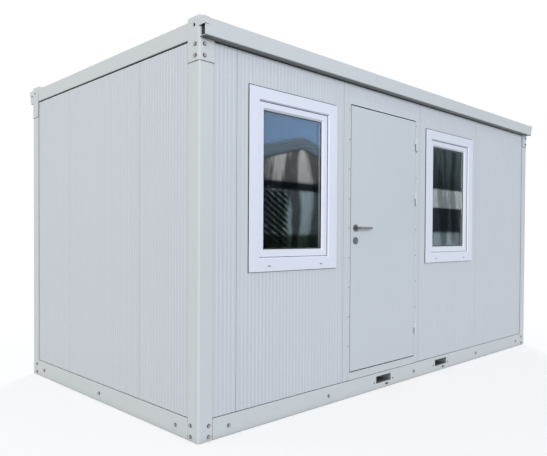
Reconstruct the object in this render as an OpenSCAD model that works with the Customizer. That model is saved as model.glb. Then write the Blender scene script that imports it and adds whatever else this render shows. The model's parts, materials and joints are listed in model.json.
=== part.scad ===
// Portable site cabin: a bolted steel frame with insulated wall panels, one door and two windows.
// All lengths are millimetres. The origin is the middle of the plan at ground level.
// The front, with the door, faces -Y. +X runs along the front to the right and +Z is up.

/* [Cabin] */
// Length over the corner posts
cabin_l = 4540; // [4400:10:6000]
// Width over the corner posts
cabin_w = 2370; // [2200:10:3000]
// Height of the roof rails above the ground
cabin_h = 2440; // [2420:5:2800]

/* [Posts and base] */
// Visible face of a corner post, the same on both sides
post_face = 106; // [100:1:130]
// Folded return along each free edge of a post
post_lip = 25; // [15:1:40]
// Outer radius of the fold down the corner of a post
post_bend_r = 12; // [8:1:20]
// Outer radius of the folds at the free edges of posts and along the rails
fold_r = 6; // [5.5:0.5:8]
// Thickness of the folded steel of posts and rails
steel_t = 4; // [3:0.5:5]
// Height of the base rails
base_h = 127; // [120:1:160]
// Width of the flanges of the base rails
base_flange_w = 90; // [80:1:98]
// Depth of a floor joist
joist_h = 100; // [60:1:110]
// Width of a floor joist
joist_w = 50; // [40:1:70]
// Thickness of the folded steel of a joist
joist_t = 3; // [2:0.5:5]
// Thickness of the floor deck
deck_t = 23; // [18:1:30]

/* [Fork pockets] */
// Clear width of a fork pocket
pocket_w = 192; // [160:1:230]
// Clear height of a fork pocket
pocket_h = 50; // [40:1:60]
// Height of the underside of the clear pocket above the ground
pocket_z = 50; // [45:1:55]
// Distance between the middles of the two pockets
pocket_pitch = 886; // [700:1:1100]
// Length of the drain slot below a pocket
drain_l = 42; // [30:1:60]
// Height of the drain slot below a pocket
drain_h = 13; // [8:1:16]
// Height of the middle of the drain slot above the ground
drain_z = 26; // [22:1:32]
// Distance of the drain slot to the right of the middle of its pocket
drain_shift = 45; // [0:1:60]

/* [Roof] */
// Height of the roof rails at the two ends
roof_rail_h = 107; // [95:1:125]
// Width of the top flange of the end rails
roof_flange = 50; // [40:1:60]
// Reach of the gutter rails in front of the posts
overhang = 55; // [40:1:80]
// Height of the outer face of the gutter rails
fascia_h = 104; // [90:1:110]
// Folded lip along the top of the gutter
gutter_lip = 20; // [12:1:30]
// Height of the upright that closes the gutter on the inside
gutter_web_h = 82; // [76:1:86]
// Width of the seat for the roof sheet on top of that upright
sheet_seat_w = 30; // [20:1:40]
// Ledge under the edge of the ceiling panel
ceiling_ledge = 30; // [20:1:38]
// Thickness of the ceiling panel
ceiling_t = 60; // [40:1:68]
// Thickness of the roof sheet
sheet_t = 1.5; // [1:0.25:3]
// Height of the ribs of the roof sheet
rib_h = 16; // [10:1:18]
// Distance from rib to rib of the roof sheet
rib_pitch = 207; // [150:1:300]
// Width of a rib at its foot
rib_foot_w = 62; // [50:1:80]
// Width of a rib at its top
rib_top_w = 34; // [20:1:45]

/* [Corner fittings] */
// Thickness of the plate that wraps the head of a post
fit_t = 4; // [3:0.5:6]
// Length of the legs that hang down over the post
fit_leg = 128; // [100:1:180]
// Rise of the lifting block above the roof rails
block_rise = 24; // [20:1:50]
// Radius of the rounded top edges of the lifting block
block_r = 12; // [6:1:12]
// Wall of the lifting block
block_t = 6; // [5:0.5:8]
// Height of the ear that caps the end of the gutter
ear_h = 45; // [30:1:60]
// Reach of the ear round the front of the gutter
ear_wrap = 24; // [15:1:40]
// Diameter of the lifting hole in the end face
lift_d = 22; // [16:1:28]
// Distance of the lifting hole from the corner of the post
lift_in = 46; // [40:1:60]
// Distance of the lifting hole below the top of the block
lift_down = 54; // [50:1:75]
// Diameter of the tie hole in the long face
tie_d = 14; // [10:1:18]
// Distance of the tie hole below the top of the block
tie_down = 18; // [18:1:24]

/* [Wall panels] */
// Thickness of a wall panel
panel_t = 60; // [40:1:70]
// Set-back of the panels behind the faces of the posts
panel_recess = 6; // [2:0.5:12]
// Width of one panel module
panel_module = 1027; // [950:1:1030]
// Width of the narrow panel beside the left post of the front
front_filler = 183; // [120:1:260]
// Width of the first panel of an end wall, counted from the front
end_filler = 545; // [480:1:600]
// Open groove between two panels
panel_gap = 2; // [1:0.5:4]
// Thickness of the angle that lines each inner corner
lining_t = 4; // [2:0.5:6]

/* [Door] */
// Width of the door leaf
leaf_w = 868; // [800:1:900]
// Height of wall left over the head of the door frame
door_over = 98; // [60:1:160]
// Thickness of the door leaf
leaf_t = 40; // [30:1:50]
// Set-back of the leaf behind the faces of the posts
leaf_recess = 2; // [0:0.5:6]
// Shift of the door to the right of the middle of its module
door_shift = 4; // [0:1:8]
// Height of the threshold over the base rail
sill_h = 60; // [45:1:80]
// Gap beside the leaf on the lock side
lock_gap = 7; // [6.5:0.5:10]
// Gap beside the leaf on the hinge side, and above and below it
hinge_gap = 5; // [5:0.5:8]
// Gap between the back of the leaf and the door stop
stop_gap = 5; // [5:0.5:8]
// Lap of the stop behind the edge of the leaf
stop_lap = 12; // [8:1:20]
// Set-back of the face of the door frame behind the faces of the posts
jamb_recess = 4; // [3:0.5:5]
// Thickness of the frame body between the wall and the gap
jamb_t = 11; // [8:1:16]
// Lap of the face of the door frame on the wall
jamb_lap = 10; // [6:1:16]
// Visible height of the head of the door frame
head_face = 58; // [40:1:70]

/* [Hinges and lever] */
// Height of a hinge
hinge_h = 106; // [80:1:140]
// Diameter of a hinge barrel
hinge_d = 14; // [12:0.5:18]
// Diameter of a hinge pin
pin_d = 8; // [6:0.5:9]
// Clearance round a pin or a turning neck
run_clear = 0.05; // [0.02:0.01:0.09]
// Distance of the hinge axis in front of the face of the leaf
hinge_out = 10; // [9.5:0.5:14]
// Width of a hinge flap
hinge_flap_w = 21; // [16:1:24]
// Distance of the middle of the upper hinge from the top of the leaf
hinge_top_in = 192; // [120:1:400]
// Distance of the middle of the second hinge from the top of the leaf
hinge_second_in = 653; // [540:1:900]
// Distance of the middle of the lower hinge from the foot of the leaf
hinge_foot_in = 238; // [120:1:400]
// Height of the lever above the foot of the leaf
lever_z = 1073; // [900:1:1150]
// Distance of the lever axis from the edge of the leaf
lever_in = 52; // [48:1:70]
// Length of the lever
lever_l = 148; // [110:1:160]
// Diameter of the lever bar and its neck
lever_d = 17; // [15:1:22]
// Reach of the lever bar in front of the leaf
lever_out = 60; // [34:1:60]
// Reach of the lever bar behind the leaf
lever_back_out = 42; // [34:1:46]
// Diameter of the round plates on the leaf
rose_d = 54; // [44:1:64]
// Thickness of the round plates on the leaf
rose_t = 8; // [5:0.5:10]
// Distance of the lock below the lever
lock_down = 95; // [72:1:110]
// Diameter of the lock core
lock_d = 17; // [14:1:20]
// Diameter of the spindle through the leaf
spindle_d = 8; // [6:0.5:10]
// Diameter of the hole for the spindle
spindle_hole_d = 12; // [11:0.5:16]

/* [Windows] */
// Width of a window over its outer frame
win_w = 840; // [700:1:900]
// Height of a window over its outer frame
win_h = 1160; // [1000:1:1250]
// Height of wall left over a window frame
win_over = 198; // [120:1:300]
// Visible face of the outer frame at the sides and below
win_face_w = 90; // [70:1:100]
// Visible face of the outer frame at the top
win_face_top_w = 82; // [70:1:100]
// Thickness of the outer frame in front of the wall
win_proud = 13; // [10:1:24]
// Lap of the outer frame on the wall all round
win_lap = 40; // [25:1:50]
// Lap of the outer frame in front of the sash
sash_lap = 10; // [6:1:14]
// Visible face of the sash
sash_face = 52; // [40:1:65]
// Gap round the sash inside the outer frame
sash_gap = 2; // [1:0.5:4]
// Thickness of the sash
sash_t = 44; // [36:1:52]
// Thickness of the glazing unit
glass_t = 24; // [16:1:28]
// Depth of the groove that holds the glazing unit
glass_bite = 12; // [8:1:18]

/* [Hidden] */
// Overrun of every cut past the face that it opens
overrun = 1;
// Running gap between the two halves of a hinge
hinge_seat = 0.3;
// Length by which a pin stays short of the end of its bore
pin_short = 2;
// Projection of the lock core in front of its plate
lock_proud = 3;
// Share of the glazing unit's free depth in the sash that lies in front of it
glass_front_share = 0.4;
// Places of the joists along the half length of the cabin, as shares of it
joist_shares = [-0.78, -0.56, -0.34, 0, 0.34, 0.56, 0.78];
$fn = 64;

half_l = cabin_l / 2;
half_w = cabin_w / 2;
roof_z = cabin_h - roof_rail_h;
block_top = cabin_h + block_rise;
ear_z = roof_z + fascia_h + fit_t - ear_h;
wall_h = roof_z - base_h;
wall_in = panel_recess + panel_t;
leaf_z = base_h + sill_h + hinge_gap;
head_top = roof_z - door_over;
head_z = head_top - head_face;
leaf_top = head_z - hinge_gap;
leaf_h = leaf_top - leaf_z;
win_z = roof_z - win_over - win_h;
stop_y = leaf_recess + leaf_t + stop_gap;
pocket_tube_w = pocket_w + 2 * steel_t;
pocket_tube_h = pocket_h + 2 * steel_t;
sheet_z = roof_z + gutter_web_h;

// Joints between the front panels, counted from the left corner
front_joints = [for (i = [0:3]) post_face + front_filler + i * panel_module];
// Joints between the panels of an end wall, counted from the front corner
end_joints = [for (i = [0:1]) post_face + end_filler + i * panel_module];
door_x = front_joints[1] + (panel_module - leaf_w) / 2 + door_shift;
door_left = door_x - lock_gap - jamb_t;
door_right = door_x + leaf_w + hinge_gap + jamb_t;
window_mids = [front_joints[0] + panel_module / 2, front_joints[2] + panel_module / 2];
sash_w = win_w - 2 * win_face_w + 2 * (sash_lap - sash_gap);
sash_h = win_h - win_face_w - win_face_top_w + 2 * (sash_lap - sash_gap);
sash_z = win_z + win_face_w - sash_lap + sash_gap;
sash_rim = sash_face + sash_lap - sash_gap;
glass_y = panel_recess + glass_front_share * (sash_t - glass_t);
hinge_x = door_x + leaf_w + hinge_gap / 2;
hinge_y = leaf_recess - hinge_out;

steel_colour = [0.80, 0.83, 0.82];
panel_colour = [0.79, 0.81, 0.83];
door_colour = [0.78, 0.80, 0.83];
white_colour = [0.88, 0.89, 0.94];
glass_colour = [0.30, 0.34, 0.42];
metal_colour = [0.35, 0.35, 0.36];
wood_colour = [0.55, 0.45, 0.34];

// Puts a shape made at the front left corner of the plan at any of the four corners
module at_corner(right, rear) {
    mirror([right, 0, 0]) mirror([0, rear, 0]) translate([-half_l, -half_w, 0]) children();
}

// Puts a shape counted from the left corner and the front face in its place
module from_front_corner() {
    translate([-half_l, -half_w, 0]) children();
}

// Runs a section along X: its first direction goes inward from the front, its second up
module along_x(from, to) {
    translate([from, 0, 0]) rotate([90, 0, 90]) linear_extrude(to - from) children();
}

// Runs a section along Y: its first direction goes inward from the left, its second up
module along_y(from, to) {
    translate([0, to, 0]) rotate([90, 0, 0]) linear_extrude(to - from) children();
}

// Square with its corner at the origin rounded
module rounded_corner_square(side, r) {
    translate([r, r]) circle(r);
    translate([r, 0]) square([side - r, side]);
    translate([0, r]) square([side, side - r]);
}

// What a round corner of the given radius leaves off a square corner at the origin
module corner_waste(r) {
    difference() {
        translate([-overrun, -overrun]) square(r + overrun);
        translate([r, r]) circle(r);
    }
}

// Square section whose first corner has the bend of a post and whose next two are folds
module post_outline(side, bend_r, edge_r) {
    difference() {
        square(side);
        corner_waste(bend_r);
        translate([side, 0]) mirror([1, 0]) corner_waste(edge_r);
        translate([0, side]) mirror([0, 1]) corner_waste(edge_r);
    }
}

// Folded angle of a post in plan, with a return along each free edge
module post_section() {
    difference() {
        post_outline(post_face, post_bend_r, fold_r);
        translate([steel_t, steel_t])
            post_outline(post_face - 2 * steel_t, post_bend_r - steel_t, fold_r - steel_t);
        translate([post_lip, post_lip]) square(post_face);
    }
}

// Rectangle with both corners of its first side rounded, as a folded web has them
module folded_block(w, h, r) {
    difference() {
        square([w, h]);
        corner_waste(r);
        translate([0, h]) mirror([0, 1]) corner_waste(r);
    }
}

// Folded channel: an upright web with a foot flange and a head flange of their own widths
module folded_channel(foot_w, head_w, h) {
    w = max(foot_w, head_w);
    difference() {
        folded_block(w, h, fold_r);
        translate([steel_t, steel_t]) folded_block(w, h - 2 * steel_t, fold_r - steel_t);
        translate([foot_w, -overrun]) square([w, h / 2]);
        translate([head_w, h / 2]) square([w, h / 2 + overrun]);
    }
}

module corner_post(right, rear) {
    color(steel_colour) at_corner(right, rear) linear_extrude(roof_z) post_section();
}

// Box that the outside of both fork pockets fills, widened along the forks by a margin
module pocket_outside(side, margin) {
    translate([side * pocket_pitch / 2 - pocket_tube_w / 2, -half_w - margin, pocket_z - steel_t])
        cube([pocket_tube_w, cabin_w + 2 * margin, pocket_tube_h]);
}

// Slot with round ends through the web of a rail below a pocket
module drain_slot(side) {
    reach = (drain_l - drain_h) / 2;
    depth = steel_t + 2 * overrun;
    translate([side * pocket_pitch / 2 + drain_shift, -half_w - overrun, drain_z]) {
        for (end = [-1, 1]) translate([end * reach, 0, 0]) rotate([-90, 0, 0]) cylinder(d = drain_h, h = depth);
        translate([-reach, 0, -drain_h / 2]) cube([2 * reach, depth, drain_h]);
    }
}

module base_rail_long(rear) {
    color(steel_colour) difference() {
        mirror([0, rear, 0]) translate([0, -half_w, 0])
            along_x(post_face - half_l, half_l - post_face)
                folded_channel(base_flange_w, base_flange_w, base_h);
        for (side = [-1, 1]) {
            pocket_outside(side, overrun);
            mirror([0, rear, 0]) drain_slot(side);
        }
    }
}

module base_rail_end(right) {
    color(steel_colour) mirror([right, 0, 0]) translate([-half_l, 0, 0])
        along_y(post_face - half_w, half_w - post_face)
            folded_channel(base_flange_w, base_flange_w, base_h);
}

module fork_pocket(side) {
    color(steel_colour) difference() {
        pocket_outside(side, 0);
        translate([side * pocket_pitch / 2 - pocket_w / 2, -half_w - overrun, pocket_z])
            cube([pocket_w, cabin_w + 2 * overrun, pocket_h]);
    }
}

// Channel of a floor joist, open to one side
module joist_section() {
    difference() {
        translate([-joist_w / 2, base_h - joist_h]) square([joist_w, joist_h]);
        translate([joist_t - joist_w / 2, base_h - joist_h + joist_t])
            square([joist_w, joist_h - 2 * joist_t]);
    }
}

module floor_joists() {
    color(steel_colour) for (share = joist_shares)
        translate([share * half_l, 0, 0])
            along_y(base_flange_w - half_w, half_w - base_flange_w) joist_section();
}

module floor_deck() {
    color(wood_colour) translate([wall_in - half_l, wall_in - half_w, base_h])
        cube([cabin_l - 2 * wall_in, cabin_w - 2 * wall_in, deck_t]);
}

// Gutter in front of the posts: soffit, fascia and the lip along its top
module gutter_section() {
    translate([-overhang, 0]) folded_channel(overhang - fit_t, gutter_lip, fascia_h);
}

// Rail over the wall: floor of the gutter, inner upright, sheet seat and ceiling ledge
module eaves_section() {
    translate([-fit_t, 0]) square([fit_t + wall_in + ceiling_ledge, steel_t]);
    translate([wall_in - steel_t, 0]) square([steel_t, gutter_web_h]);
    translate([wall_in - steel_t, gutter_web_h - steel_t]) square([sheet_seat_w, steel_t]);
}

module roof_rail_long(rear) {
    color(steel_colour) mirror([0, rear, 0]) translate([0, -half_w, roof_z]) {
        along_x(-half_l, half_l) gutter_section();
        along_x(post_face - half_l, half_l - post_face) eaves_section();
    }
}

module roof_rail_end(right) {
    color(steel_colour) mirror([right, 0, 0]) translate([-half_l, 0, roof_z])
        along_y(post_face - half_w, half_w - post_face)
            folded_channel(wall_in + ceiling_ledge, roof_flange, roof_rail_h);
}

// Outline of the head of a post with the wrapping plate round it
module fitting_outline() {
    translate([-fit_t, -fit_t]) rounded_corner_square(post_face + fit_t, post_bend_r + fit_t);
}

// Two legs that wrap the head of the post
module fitting_legs() {
    translate([0, 0, roof_z - fit_leg]) linear_extrude(fit_leg) difference() {
        fitting_outline();
        rounded_corner_square(post_face + overrun, post_bend_r);
    }
}

// Upright outline of the lifting block with its two top corners rounded
module block_profile() {
    side = post_face + fit_t;
    translate([-fit_t, block_top]) difference() {
        translate([0, roof_z - block_top]) square([side, block_top - roof_z]);
        mirror([0, 1]) corner_waste(block_r);
        translate([side, 0]) rotate(180) corner_waste(block_r);
    }
}

// Hollow lifting block with its lifting hole in the end face and tie hole in the long face
module lifting_block() {
    inner = post_face + fit_t - 2 * block_t;
    difference() {
        intersection() {
            translate([0, 0, roof_z]) linear_extrude(block_top - roof_z) fitting_outline();
            along_x(-fit_t, post_face) block_profile();
            along_y(-fit_t, post_face) block_profile();
        }
        translate([block_t - fit_t, block_t - fit_t, roof_z + block_t])
            cube([inner, inner, block_top - roof_z - 2 * block_t]);
        translate([-fit_t - overrun, lift_in, block_top - lift_down]) rotate([0, 90, 0])
            cylinder(d = lift_d, h = block_t + 2 * overrun);
        translate([lift_in, block_t - fit_t + overrun, block_top - tie_down]) rotate([90, 0, 0])
            cylinder(d = tie_d, h = block_t + 2 * overrun);
    }
}

// Outline of the cap from its front to the block, less a margin at its front and top
module ear_outline(margin) {
    translate([margin, 0]) difference() {
        square([overhang + fit_t + post_bend_r - margin, ear_h - margin]);
        translate([0, ear_h - margin]) mirror([0, 1]) corner_waste(fold_r + fit_t - margin);
    }
}

// Folded cap over the end of the gutter: an end plate, and a strip bent over the lip and the fascia
module gutter_ear() {
    translate([0, -overhang - fit_t, ear_z]) {
        along_x(-fit_t, 0) ear_outline(0);
        along_x(0, ear_wrap) difference() {
            ear_outline(0);
            ear_outline(fit_t);
        }
    }
}

module corner_fitting(right, rear) {
    color(steel_colour) at_corner(right, rear) {
        fitting_legs();
        lifting_block();
        difference() {
            gutter_ear();
            translate([0, 0, roof_z]) linear_extrude(block_top) fitting_outline();
        }
    }
}

// The four corner blocks as plain prisms, for cutting what fits between them
module corner_room() {
    for (right = [0, 1], rear = [0, 1]) at_corner(right, rear)
        translate([-overhang, -overhang, roof_z])
            cube([overhang + post_face, overhang + post_face, block_top - roof_z]);
}

module ceiling_panel() {
    color(white_colour) difference() {
        translate([wall_in - half_l, wall_in - half_w, roof_z + steel_t])
            cube([cabin_l - 2 * wall_in, cabin_w - 2 * wall_in, ceiling_t]);
        corner_room();
    }
}

// Ribbed edge line of the roof sheet, raised by its thickness on the upper side
function sheet_line(from, count, raise) = [
    for (i = [0:count - 1]) let (mid = from + (i + 0.5) * rib_pitch) each [
        [mid - rib_foot_w / 2, raise],
        [mid - rib_top_w / 2, rib_h + raise],
        [mid + rib_top_w / 2, rib_h + raise],
        [mid + rib_foot_w / 2, raise]
    ]
];
function reversed(list) = [for (i = [len(list) - 1:-1:0]) list[i]];

module roof_sheet() {
    edge = half_l - steel_t;
    count = floor(2 * edge / rib_pitch);
    from = -count * rib_pitch / 2;
    under = concat([[-edge, 0]], sheet_line(from, count, 0), [[edge, 0]]);
    upper = concat([[-edge, sheet_t]], sheet_line(from, count, sheet_t), [[edge, sheet_t]]);
    color(steel_colour) difference() {
        translate([0, 0, sheet_z]) along_y(-half_w, half_w) polygon(concat(under, reversed(upper)));
        corner_room();
    }
}

// Starts and ends of the panels of one wall, with half a groove on each side of a joint
function panel_spans(joints, from, to) = [
    for (i = [0:len(joints)]) [
        i == 0 ? from : joints[i - 1] + panel_gap / 2,
        i == len(joints) ? to : joints[i] - panel_gap / 2
    ]
];
front_spans = panel_spans(front_joints, post_face, cabin_l - post_face);
end_spans = panel_spans(end_joints, post_face, cabin_w - post_face);

// One panel of a long wall between two places along the front
module front_panel(span) {
    color(panel_colour) from_front_corner() translate([span[0], panel_recess, base_h])
        cube([span[1] - span[0], panel_t, wall_h]);
}

module front_window_panel(index) {
    color(panel_colour) difference() {
        front_panel(front_spans[2 * index + 1]);
        from_front_corner() translate([
            window_mids[index] - win_w / 2 + win_lap, panel_recess - overrun, win_z + win_lap])
            cube([win_w - 2 * win_lap, panel_t + 2 * overrun, win_h - 2 * win_lap]);
    }
}

module front_wall_door_head() {
    color(panel_colour) from_front_corner()
        translate([door_left, panel_recess, head_top])
            cube([door_right - door_left, panel_t, door_over]);
}

module rear_wall() {
    mirror([0, 1, 0]) for (span = front_spans) front_panel(span);
}

module end_wall(right) {
    color(panel_colour) mirror([right, 0, 0]) from_front_corner() for (span = end_spans)
        translate([panel_recess, span[0], base_h]) cube([panel_t, span[1] - span[0], wall_h]);
}

module corner_linings() {
    edge = wall_in - lining_t;
    color(white_colour) for (right = [0, 1], rear = [0, 1]) at_corner(right, rear)
        translate([edge, edge, base_h]) linear_extrude(wall_h) difference() {
            square(post_face - edge);
            translate([lining_t, lining_t]) square(post_face - edge);
        }
}

// Section of a door post from the edge of the leaf: face, lap on the wall, body and stop
module jamb_section(gap) {
    lap = -gap - jamb_t - jamb_lap;
    polygon([
        [lap, jamb_recess], [-gap, jamb_recess], [-gap, stop_y], [stop_lap, stop_y],
        [stop_lap, wall_in], [-gap - jamb_t, wall_in], [-gap - jamb_t, panel_recess],
        [lap, panel_recess]
    ]);
}

module door_jamb_left() {
    color(door_colour) from_front_corner() translate([door_x, 0, base_h + sill_h])
        linear_extrude(head_top - base_h - sill_h) jamb_section(lock_gap);
}

module door_jamb_right() {
    color(door_colour) from_front_corner() translate([door_x + leaf_w, 0, base_h + sill_h])
        mirror([1, 0, 0]) linear_extrude(head_top - base_h - sill_h) jamb_section(hinge_gap);
}

module door_head() {
    color(door_colour) from_front_corner() {
        along_x(door_x - lock_gap, door_x + leaf_w + hinge_gap)
            translate([jamb_recess, head_z]) square([stop_y - jamb_recess, head_face]);
        along_x(door_x + stop_lap, door_x + leaf_w - stop_lap)
            translate([stop_y, leaf_top - stop_lap])
                square([wall_in - stop_y, head_top - leaf_top + stop_lap]);
    }
}

module door_sill() {
    color(metal_colour) from_front_corner() translate([door_left, jamb_recess, base_h])
        cube([door_right - door_left, wall_in - jamb_recess, sill_h]);
}

// Moves to the axis of the lever on the front face of the leaf
module at_lever() {
    from_front_corner() translate([door_x + lever_in, leaf_recess, leaf_z + lever_z]) children();
}

// Round bar or hole that runs from the front of the leaf to the back
module through_leaf(d, reach) {
    translate([0, -reach, 0]) rotate([-90, 0, 0]) cylinder(d = d, h = leaf_t + 2 * reach);
}

module door_leaf() {
    color(door_colour) difference() {
        from_front_corner() translate([door_x, leaf_recess, leaf_z]) cube([leaf_w, leaf_t, leaf_h]);
        at_lever() through_leaf(spindle_hole_d, overrun);
    }
}

// Repeats what is made on the front face of the leaf on its back face
module both_faces() {
    children();
    translate([0, leaf_t, 0]) mirror([0, 1, 0]) children();
}

module door_furniture() {
    color(metal_colour) at_lever() both_faces() {
        rotate([90, 0, 0]) difference() {
            cylinder(d = rose_d, h = rose_t);
            translate([0, 0, -overrun])
                cylinder(d = lever_d + 2 * run_clear, h = rose_t + 2 * overrun);
        }
        translate([0, 0, -lock_down]) rotate([90, 0, 0]) {
            cylinder(d = rose_d, h = rose_t);
            cylinder(d = lock_d, h = rose_t + lock_proud);
        }
    }
}

// Neck and bar of the lever in front of a face of the leaf
module lever_bar(out) {
    translate([0, -hinge_seat, 0]) rotate([90, 0, 0])
        cylinder(d = lever_d, h = out - lever_d / 2 - hinge_seat);
    translate([0, lever_d / 2 - out, 0]) {
        sphere(d = lever_d);
        rotate([0, 90, 0]) cylinder(d = lever_d, h = lever_l - lever_d / 2);
        translate([lever_l - lever_d / 2, 0, 0]) sphere(d = lever_d);
    }
}

module door_lever() {
    color(metal_colour) at_lever() {
        through_leaf(spindle_d, rose_t);
        lever_bar(lever_out);
        translate([0, leaf_t, 0]) mirror([0, 1, 0]) lever_bar(lever_back_out);
    }
}

// Moves to the hinge axis at the middle of each hinge
module at_hinges() {
    from_front_corner() for (z = [leaf_z + hinge_foot_in, leaf_top - hinge_second_in, leaf_top - hinge_top_in])
        translate([hinge_x, hinge_y, z]) children();
}

module hinges_frame() {
    flap = jamb_recess - hinge_y;
    color(metal_colour) at_hinges() {
        translate([0, 0, -hinge_h / 2]) cylinder(d = hinge_d, h = hinge_h / 2);
        translate([0, 0, -hinge_h / 2]) cylinder(d = pin_d, h = hinge_h - steel_t - pin_short);
        translate([hinge_gap / 2, 0, -hinge_h / 2])
            cube([hinge_flap_w - hinge_gap / 2, flap, hinge_h / 2]);
    }
}

module hinges_leaf() {
    flap = leaf_recess - hinge_y;
    color(metal_colour) at_hinges() difference() {
        union() {
            translate([0, 0, hinge_seat]) cylinder(d = hinge_d, h = hinge_h / 2 - hinge_seat);
            translate([-hinge_flap_w, 0, hinge_seat])
                cube([hinge_flap_w - hinge_gap / 2, flap, hinge_h / 2 - hinge_seat]);
        }
        translate([0, 0, -overrun])
            cylinder(d = pin_d + 2 * run_clear, h = hinge_h / 2 - steel_t + overrun);
    }
}

// Puts a shape made from the middle of a window's foot in its place in the front wall
module at_window(index) {
    from_front_corner() translate([window_mids[index], 0, 0]) children();
}

// Upright rectangle from its foot, widened on every side by a margin
module window_box(w, z, h, margin, y, depth) {
    translate([-w / 2 - margin, y, z - margin]) cube([w + 2 * margin, depth, h + 2 * margin]);
}

module window_frame(index) {
    inside_w = win_w - 2 * win_face_w;
    inside_h = win_h - win_face_w - win_face_top_w;
    inside_z = win_z + win_face_w;
    color(white_colour) at_window(index) difference() {
        union() {
            window_box(win_w, win_z, win_h, 0, panel_recess - win_proud, win_proud);
            window_box(win_w, win_z, win_h, -win_lap, panel_recess, panel_t);
        }
        window_box(inside_w, inside_z, inside_h, 0, panel_recess - win_proud - overrun,
            win_proud + 2 * overrun);
        window_box(inside_w, inside_z, inside_h, sash_lap, panel_recess, panel_t + overrun);
    }
}

module window_sash(index) {
    color(white_colour) at_window(index) difference() {
        window_box(sash_w, sash_z, sash_h, 0, panel_recess, sash_t);
        window_box(sash_w, sash_z, sash_h, -sash_rim, panel_recess - overrun, sash_t + 2 * overrun);
        window_box(sash_w, sash_z, sash_h, glass_bite - sash_rim, glass_y, glass_t);
    }
}

module window_panes() {
    color(glass_colour) for (index = [0, 1]) at_window(index)
        window_box(sash_w, sash_z, sash_h, glass_bite - sash_rim, glass_y, glass_t);
}

corner_post(0, 0);  // post_front_left
corner_post(1, 0);  // post_front_right
corner_post(0, 1);  // post_rear_left
corner_post(1, 1);  // post_rear_right
base_rail_long(0);  // base_rail_front
base_rail_long(1);  // base_rail_rear
base_rail_end(0);  // base_rail_left
base_rail_end(1);  // base_rail_right
roof_rail_long(0);  // roof_rail_front
roof_rail_long(1);  // roof_rail_rear
roof_rail_end(0);  // roof_rail_left
roof_rail_end(1);  // roof_rail_right
corner_fitting(0, 0);  // corner_fitting_front_left
corner_fitting(1, 0);  // corner_fitting_front_right
corner_fitting(0, 1);  // corner_fitting_rear_left
corner_fitting(1, 1);  // corner_fitting_rear_right
fork_pocket(-1);  // fork_pocket_left
fork_pocket(1);  // fork_pocket_right
floor_joists();
floor_deck();
ceiling_panel();
roof_sheet();
front_panel(front_spans[0]);  // front_wall_filler
front_window_panel(0);  // front_wall_window_left
front_panel([front_spans[2][0], door_left]);  // front_wall_door_left
front_wall_door_head();
front_panel([door_right, front_spans[2][1]]);  // front_wall_door_right
front_window_panel(1);  // front_wall_window_right
front_panel(front_spans[4]);  // front_wall_plain
rear_wall();
end_wall(0);  // left_wall
end_wall(1);  // right_wall
corner_linings();
door_jamb_left();
door_jamb_right();
door_head();
door_sill();
door_leaf();
door_furniture();
door_lever();
hinges_frame();
hinges_leaf();
window_frame(0);  // window_frame_left
window_frame(1);  // window_frame_right
window_sash(0);  // window_sash_left
window_sash(1);  // window_sash_right
window_panes();
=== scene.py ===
# %% [markdown]
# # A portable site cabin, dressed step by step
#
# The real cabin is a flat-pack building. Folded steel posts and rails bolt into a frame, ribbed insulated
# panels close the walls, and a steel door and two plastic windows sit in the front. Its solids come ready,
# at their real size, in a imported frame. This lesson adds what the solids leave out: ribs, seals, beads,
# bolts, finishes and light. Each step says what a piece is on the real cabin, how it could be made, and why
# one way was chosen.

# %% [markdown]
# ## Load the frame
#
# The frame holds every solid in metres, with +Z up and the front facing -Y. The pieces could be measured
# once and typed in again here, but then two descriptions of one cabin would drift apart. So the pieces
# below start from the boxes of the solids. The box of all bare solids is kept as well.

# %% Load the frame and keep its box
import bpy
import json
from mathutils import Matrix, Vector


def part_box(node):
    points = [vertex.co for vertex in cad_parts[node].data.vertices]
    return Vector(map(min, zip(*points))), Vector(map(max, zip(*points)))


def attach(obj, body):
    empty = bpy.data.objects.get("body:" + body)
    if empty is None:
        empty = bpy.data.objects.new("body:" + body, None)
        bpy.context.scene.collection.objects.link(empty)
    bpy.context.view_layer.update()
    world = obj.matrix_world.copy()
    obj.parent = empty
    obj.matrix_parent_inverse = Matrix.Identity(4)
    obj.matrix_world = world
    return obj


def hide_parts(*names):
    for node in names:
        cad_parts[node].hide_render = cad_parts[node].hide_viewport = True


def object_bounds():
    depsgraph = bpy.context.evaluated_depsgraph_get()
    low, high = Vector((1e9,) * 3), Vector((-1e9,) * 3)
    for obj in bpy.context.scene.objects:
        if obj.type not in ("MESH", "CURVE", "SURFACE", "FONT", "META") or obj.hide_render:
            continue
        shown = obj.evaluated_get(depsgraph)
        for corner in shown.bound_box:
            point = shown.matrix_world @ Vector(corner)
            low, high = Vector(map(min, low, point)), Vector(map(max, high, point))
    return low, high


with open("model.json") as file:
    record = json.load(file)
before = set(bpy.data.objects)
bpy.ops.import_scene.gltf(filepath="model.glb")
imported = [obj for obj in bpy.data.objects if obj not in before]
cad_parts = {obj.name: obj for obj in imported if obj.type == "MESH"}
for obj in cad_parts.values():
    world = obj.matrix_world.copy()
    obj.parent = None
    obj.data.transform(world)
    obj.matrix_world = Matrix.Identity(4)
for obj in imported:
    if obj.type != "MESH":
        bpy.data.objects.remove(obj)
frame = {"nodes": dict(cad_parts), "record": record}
cad_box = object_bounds()
print("solids in the frame:", len(frame["nodes"]))
print("box of the solids:", [[round(value, 3) for value in corner] for corner in cad_box])

# %% [markdown]
# ## The camera
#
# The view was found by fitting a pinhole camera to the straight edges of the cabin. It could be aimed by
# eye, or with a Track To constraint, but a fitted camera keeps the slight roll and the exact perspective.
# Its three directions are written as vectors and become the columns of a rotation matrix, because a Blender
# camera looks along its own -Z with +Y up.

# %% Camera
import math
import bpy
from mathutils import Matrix, Vector

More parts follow.
